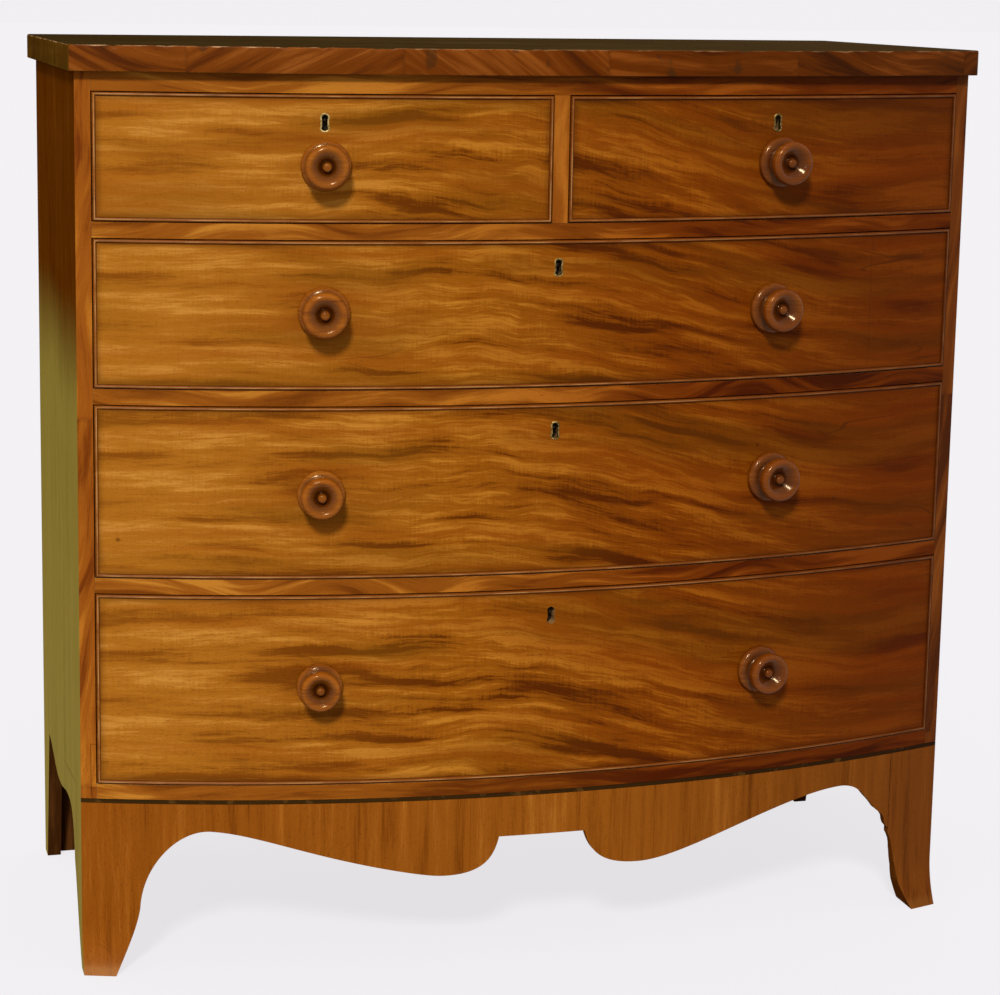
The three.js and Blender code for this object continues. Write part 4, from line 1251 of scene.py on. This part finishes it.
def keyhole_rings(x, z, profile):
    """The keyhole's outline on the bow, once for each growth and height of a profile."""
    out, across = bow_axes(x)
    foot = Vector((x, bow_y(x), z))
    rings = []
    for grow, height in profile:
        rings.append([foot + across * u + Vector((0, 0, v)) + out * height for u, v in keyhole_shape(grow)])
    return rings


# Drawers, as (middle of the keyhole, facets of the front, seed of the veneer, any joint in it)
DRAWERS = {
    "short_left": (-0.262, 8, 2),
    "short_right": (0.262, 8, 2.2),
    "long_1": (0, 16, 4, 0.396),
    "long_2": (0, 16, 4.14),
    "long_3": (0, 16, 4.3),
}
LINED = {"short_left": brass, "short_right": dull_brass, "long_1": dull_brass, "long_2": dull_brass}
LINING_SEAM = 0.00005
LOST_LINING = 0.0011
BOX_WOODS = {
    "side_left": "oak", "side_right": "oak", "back": "oak_across", "base": "oak_across", "lock": "old_iron"}


def dress(node, material):
    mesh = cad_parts[node].data
    mesh.materials.clear()
    mesh.materials.append(material)


for name, (key_x, facets, *figure) in DRAWERS.items():
    body = f"drawer_{name}"
    front_low, front_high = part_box(f"{name}_front")
    key_z = front_high.z - KEY_DROP
    grow = RIM + LINING_SEAM if name in LINED else LOST_LINING
    rings = keyhole_rings(key_x, key_z, ((grow, CUT_FRONT), (grow, -CUT_BACK)))
    cutter = meshed(f"{name}_keyhole", *loops(rings, closed=False))
    weld(cutter)
    veneer = front_veneer(f"{name}_veneer", front_low, front_high, *figure)
    smooth_bow(
        f"{name}_front", f"{name}_panel", [veneer, woods["oak_across"]], body,
        (front_low.x, front_high.x), facets, cutter=cutter)
    cockbead(name, body)
    for node in KNOB_FITS:
        if node.startswith(name):
            knob(node, body)
    if name in LINED:
        rings = keyhole_rings(key_x, key_z, LINING_PROFILE)
        piece(f"{name}_keyhole_lining", *loops(rings), [LINED[name]], body, "lock")
    for node, wood in BOX_WOODS.items():
        dress(f"{name}_{node}", woods[wood])

for node in ("dustboard_1", "dustboard_2", "dustboard_3"):
    dress(node, woods["pine"])
# The rear brackets are dark
for node in ("rear_bracket_left", "rear_bracket_right"):
    dress(node, woods["dark_wood"])
dress("back_panel", woods["pine_upright"])
dress("centre_partition", woods["stile_veneer"])

# Camera, to the left of the front and above it
CAMERA_PLACE = (-0.82909, -2.89623, 1.11721)
CAMERA_TURN = radians(-14.5203)
CAMERA_TILT = radians(90 - 9.69054)
CAMERA_ROLL = radians(0.80526)
CAMERA_LENS = 90.1106
CAMERA_SENSOR = 36
CAMERA_SHIFT = (0.06995, -0.08744)
data = bpy.data.cameras.new("camera")
data.lens = CAMERA_LENS
data.sensor_width = CAMERA_SENSOR
data.shift_x, data.shift_y = CAMERA_SHIFT
camera = placed("camera", data)
aim = Euler((CAMERA_TILT, 0, CAMERA_TURN)).to_matrix() @ Matrix.Rotation(CAMERA_ROLL, 3, "Z")
camera.matrix_world = Matrix.Translation(CAMERA_PLACE) @ aim.to_4x4()
scene.camera = camera

# Light: a soft key from the upper left of the front, and an even surround
BACKGROUND = tone(241, 239, 242)
SURROUND_LEVEL = 0.5
KEY_AZIMUTH = radians(22)
KEY_ELEVATION = radians(38)
KEY_STRENGTH = 2.6
KEY_SIZE = radians(9)
FLOOR_HALF = 60
FLOOR_BOUNCE = (0.35, 0.35, 0.35, 1)
FLOOR_GLOW = 0.85
FLOOR_SHADE = 0.17
data = bpy.data.lights.new("key", "SUN")
data.energy = KEY_STRENGTH
data.angle = KEY_SIZE
key = placed("key", data)
level = cos(KEY_ELEVATION)
back = Vector((-sin(KEY_AZIMUTH) * level, -cos(KEY_AZIMUTH) * level, sin(KEY_ELEVATION)))
key.rotation_mode = "QUATERNION"
key.rotation_quaternion = back.to_track_quat("Z", "Y")


def show_background(tree, output, lit, background):
    """Camera, glossy and transmission rays see the background, and all others are lit."""
    paths = tree.add("LightPath", {})
    share = tree.most(*[paths[f"Is {kind} Ray"] for kind in ("Camera", "Glossy", "Transmission")])
    tree.add(output, {0: tree.add("MixShader", {0: share, 1: lit, 2: background})[0]})


world = bpy.data.worlds.new("surround")
scene.world = world
tree = Tree(world)
tree.nodes.clear()
lit = tree.add("Background", {"Color": (1, 1, 1, 1), "Strength": SURROUND_LEVEL})[0]
show_background(tree, "OutputWorld", lit, tree.add("Background", {"Color": BACKGROUND})[0])

corners = [(a * FLOOR_HALF, b * FLOOR_HALF, 0) for a, b in ((-1, -1), (1, -1), (1, 1), (-1, 1))]
tree = Tree(bpy.data.materials.new("floor"))
tree.nodes.clear()
bounce = tree.add("BsdfDiffuse", {"Color": FLOOR_BOUNCE})[0]
shade = tree.add("BsdfDiffuse", {"Color": (*[c * FLOOR_SHADE for c in BACKGROUND[:3]], 1)})[0]
glow = tree.add("Emission", {"Color": BACKGROUND, "Strength": FLOOR_GLOW})[0]
show_background(tree, "OutputMaterial", bounce, tree.add("AddShader", {0: shade, 1: glow})[0])
floor = placed("floor", meshed("floor", corners, [(0, 1, 2, 3)]))
floor.data.materials.append(tree.owner)
scene.view_settings.view_transform = "Standard"
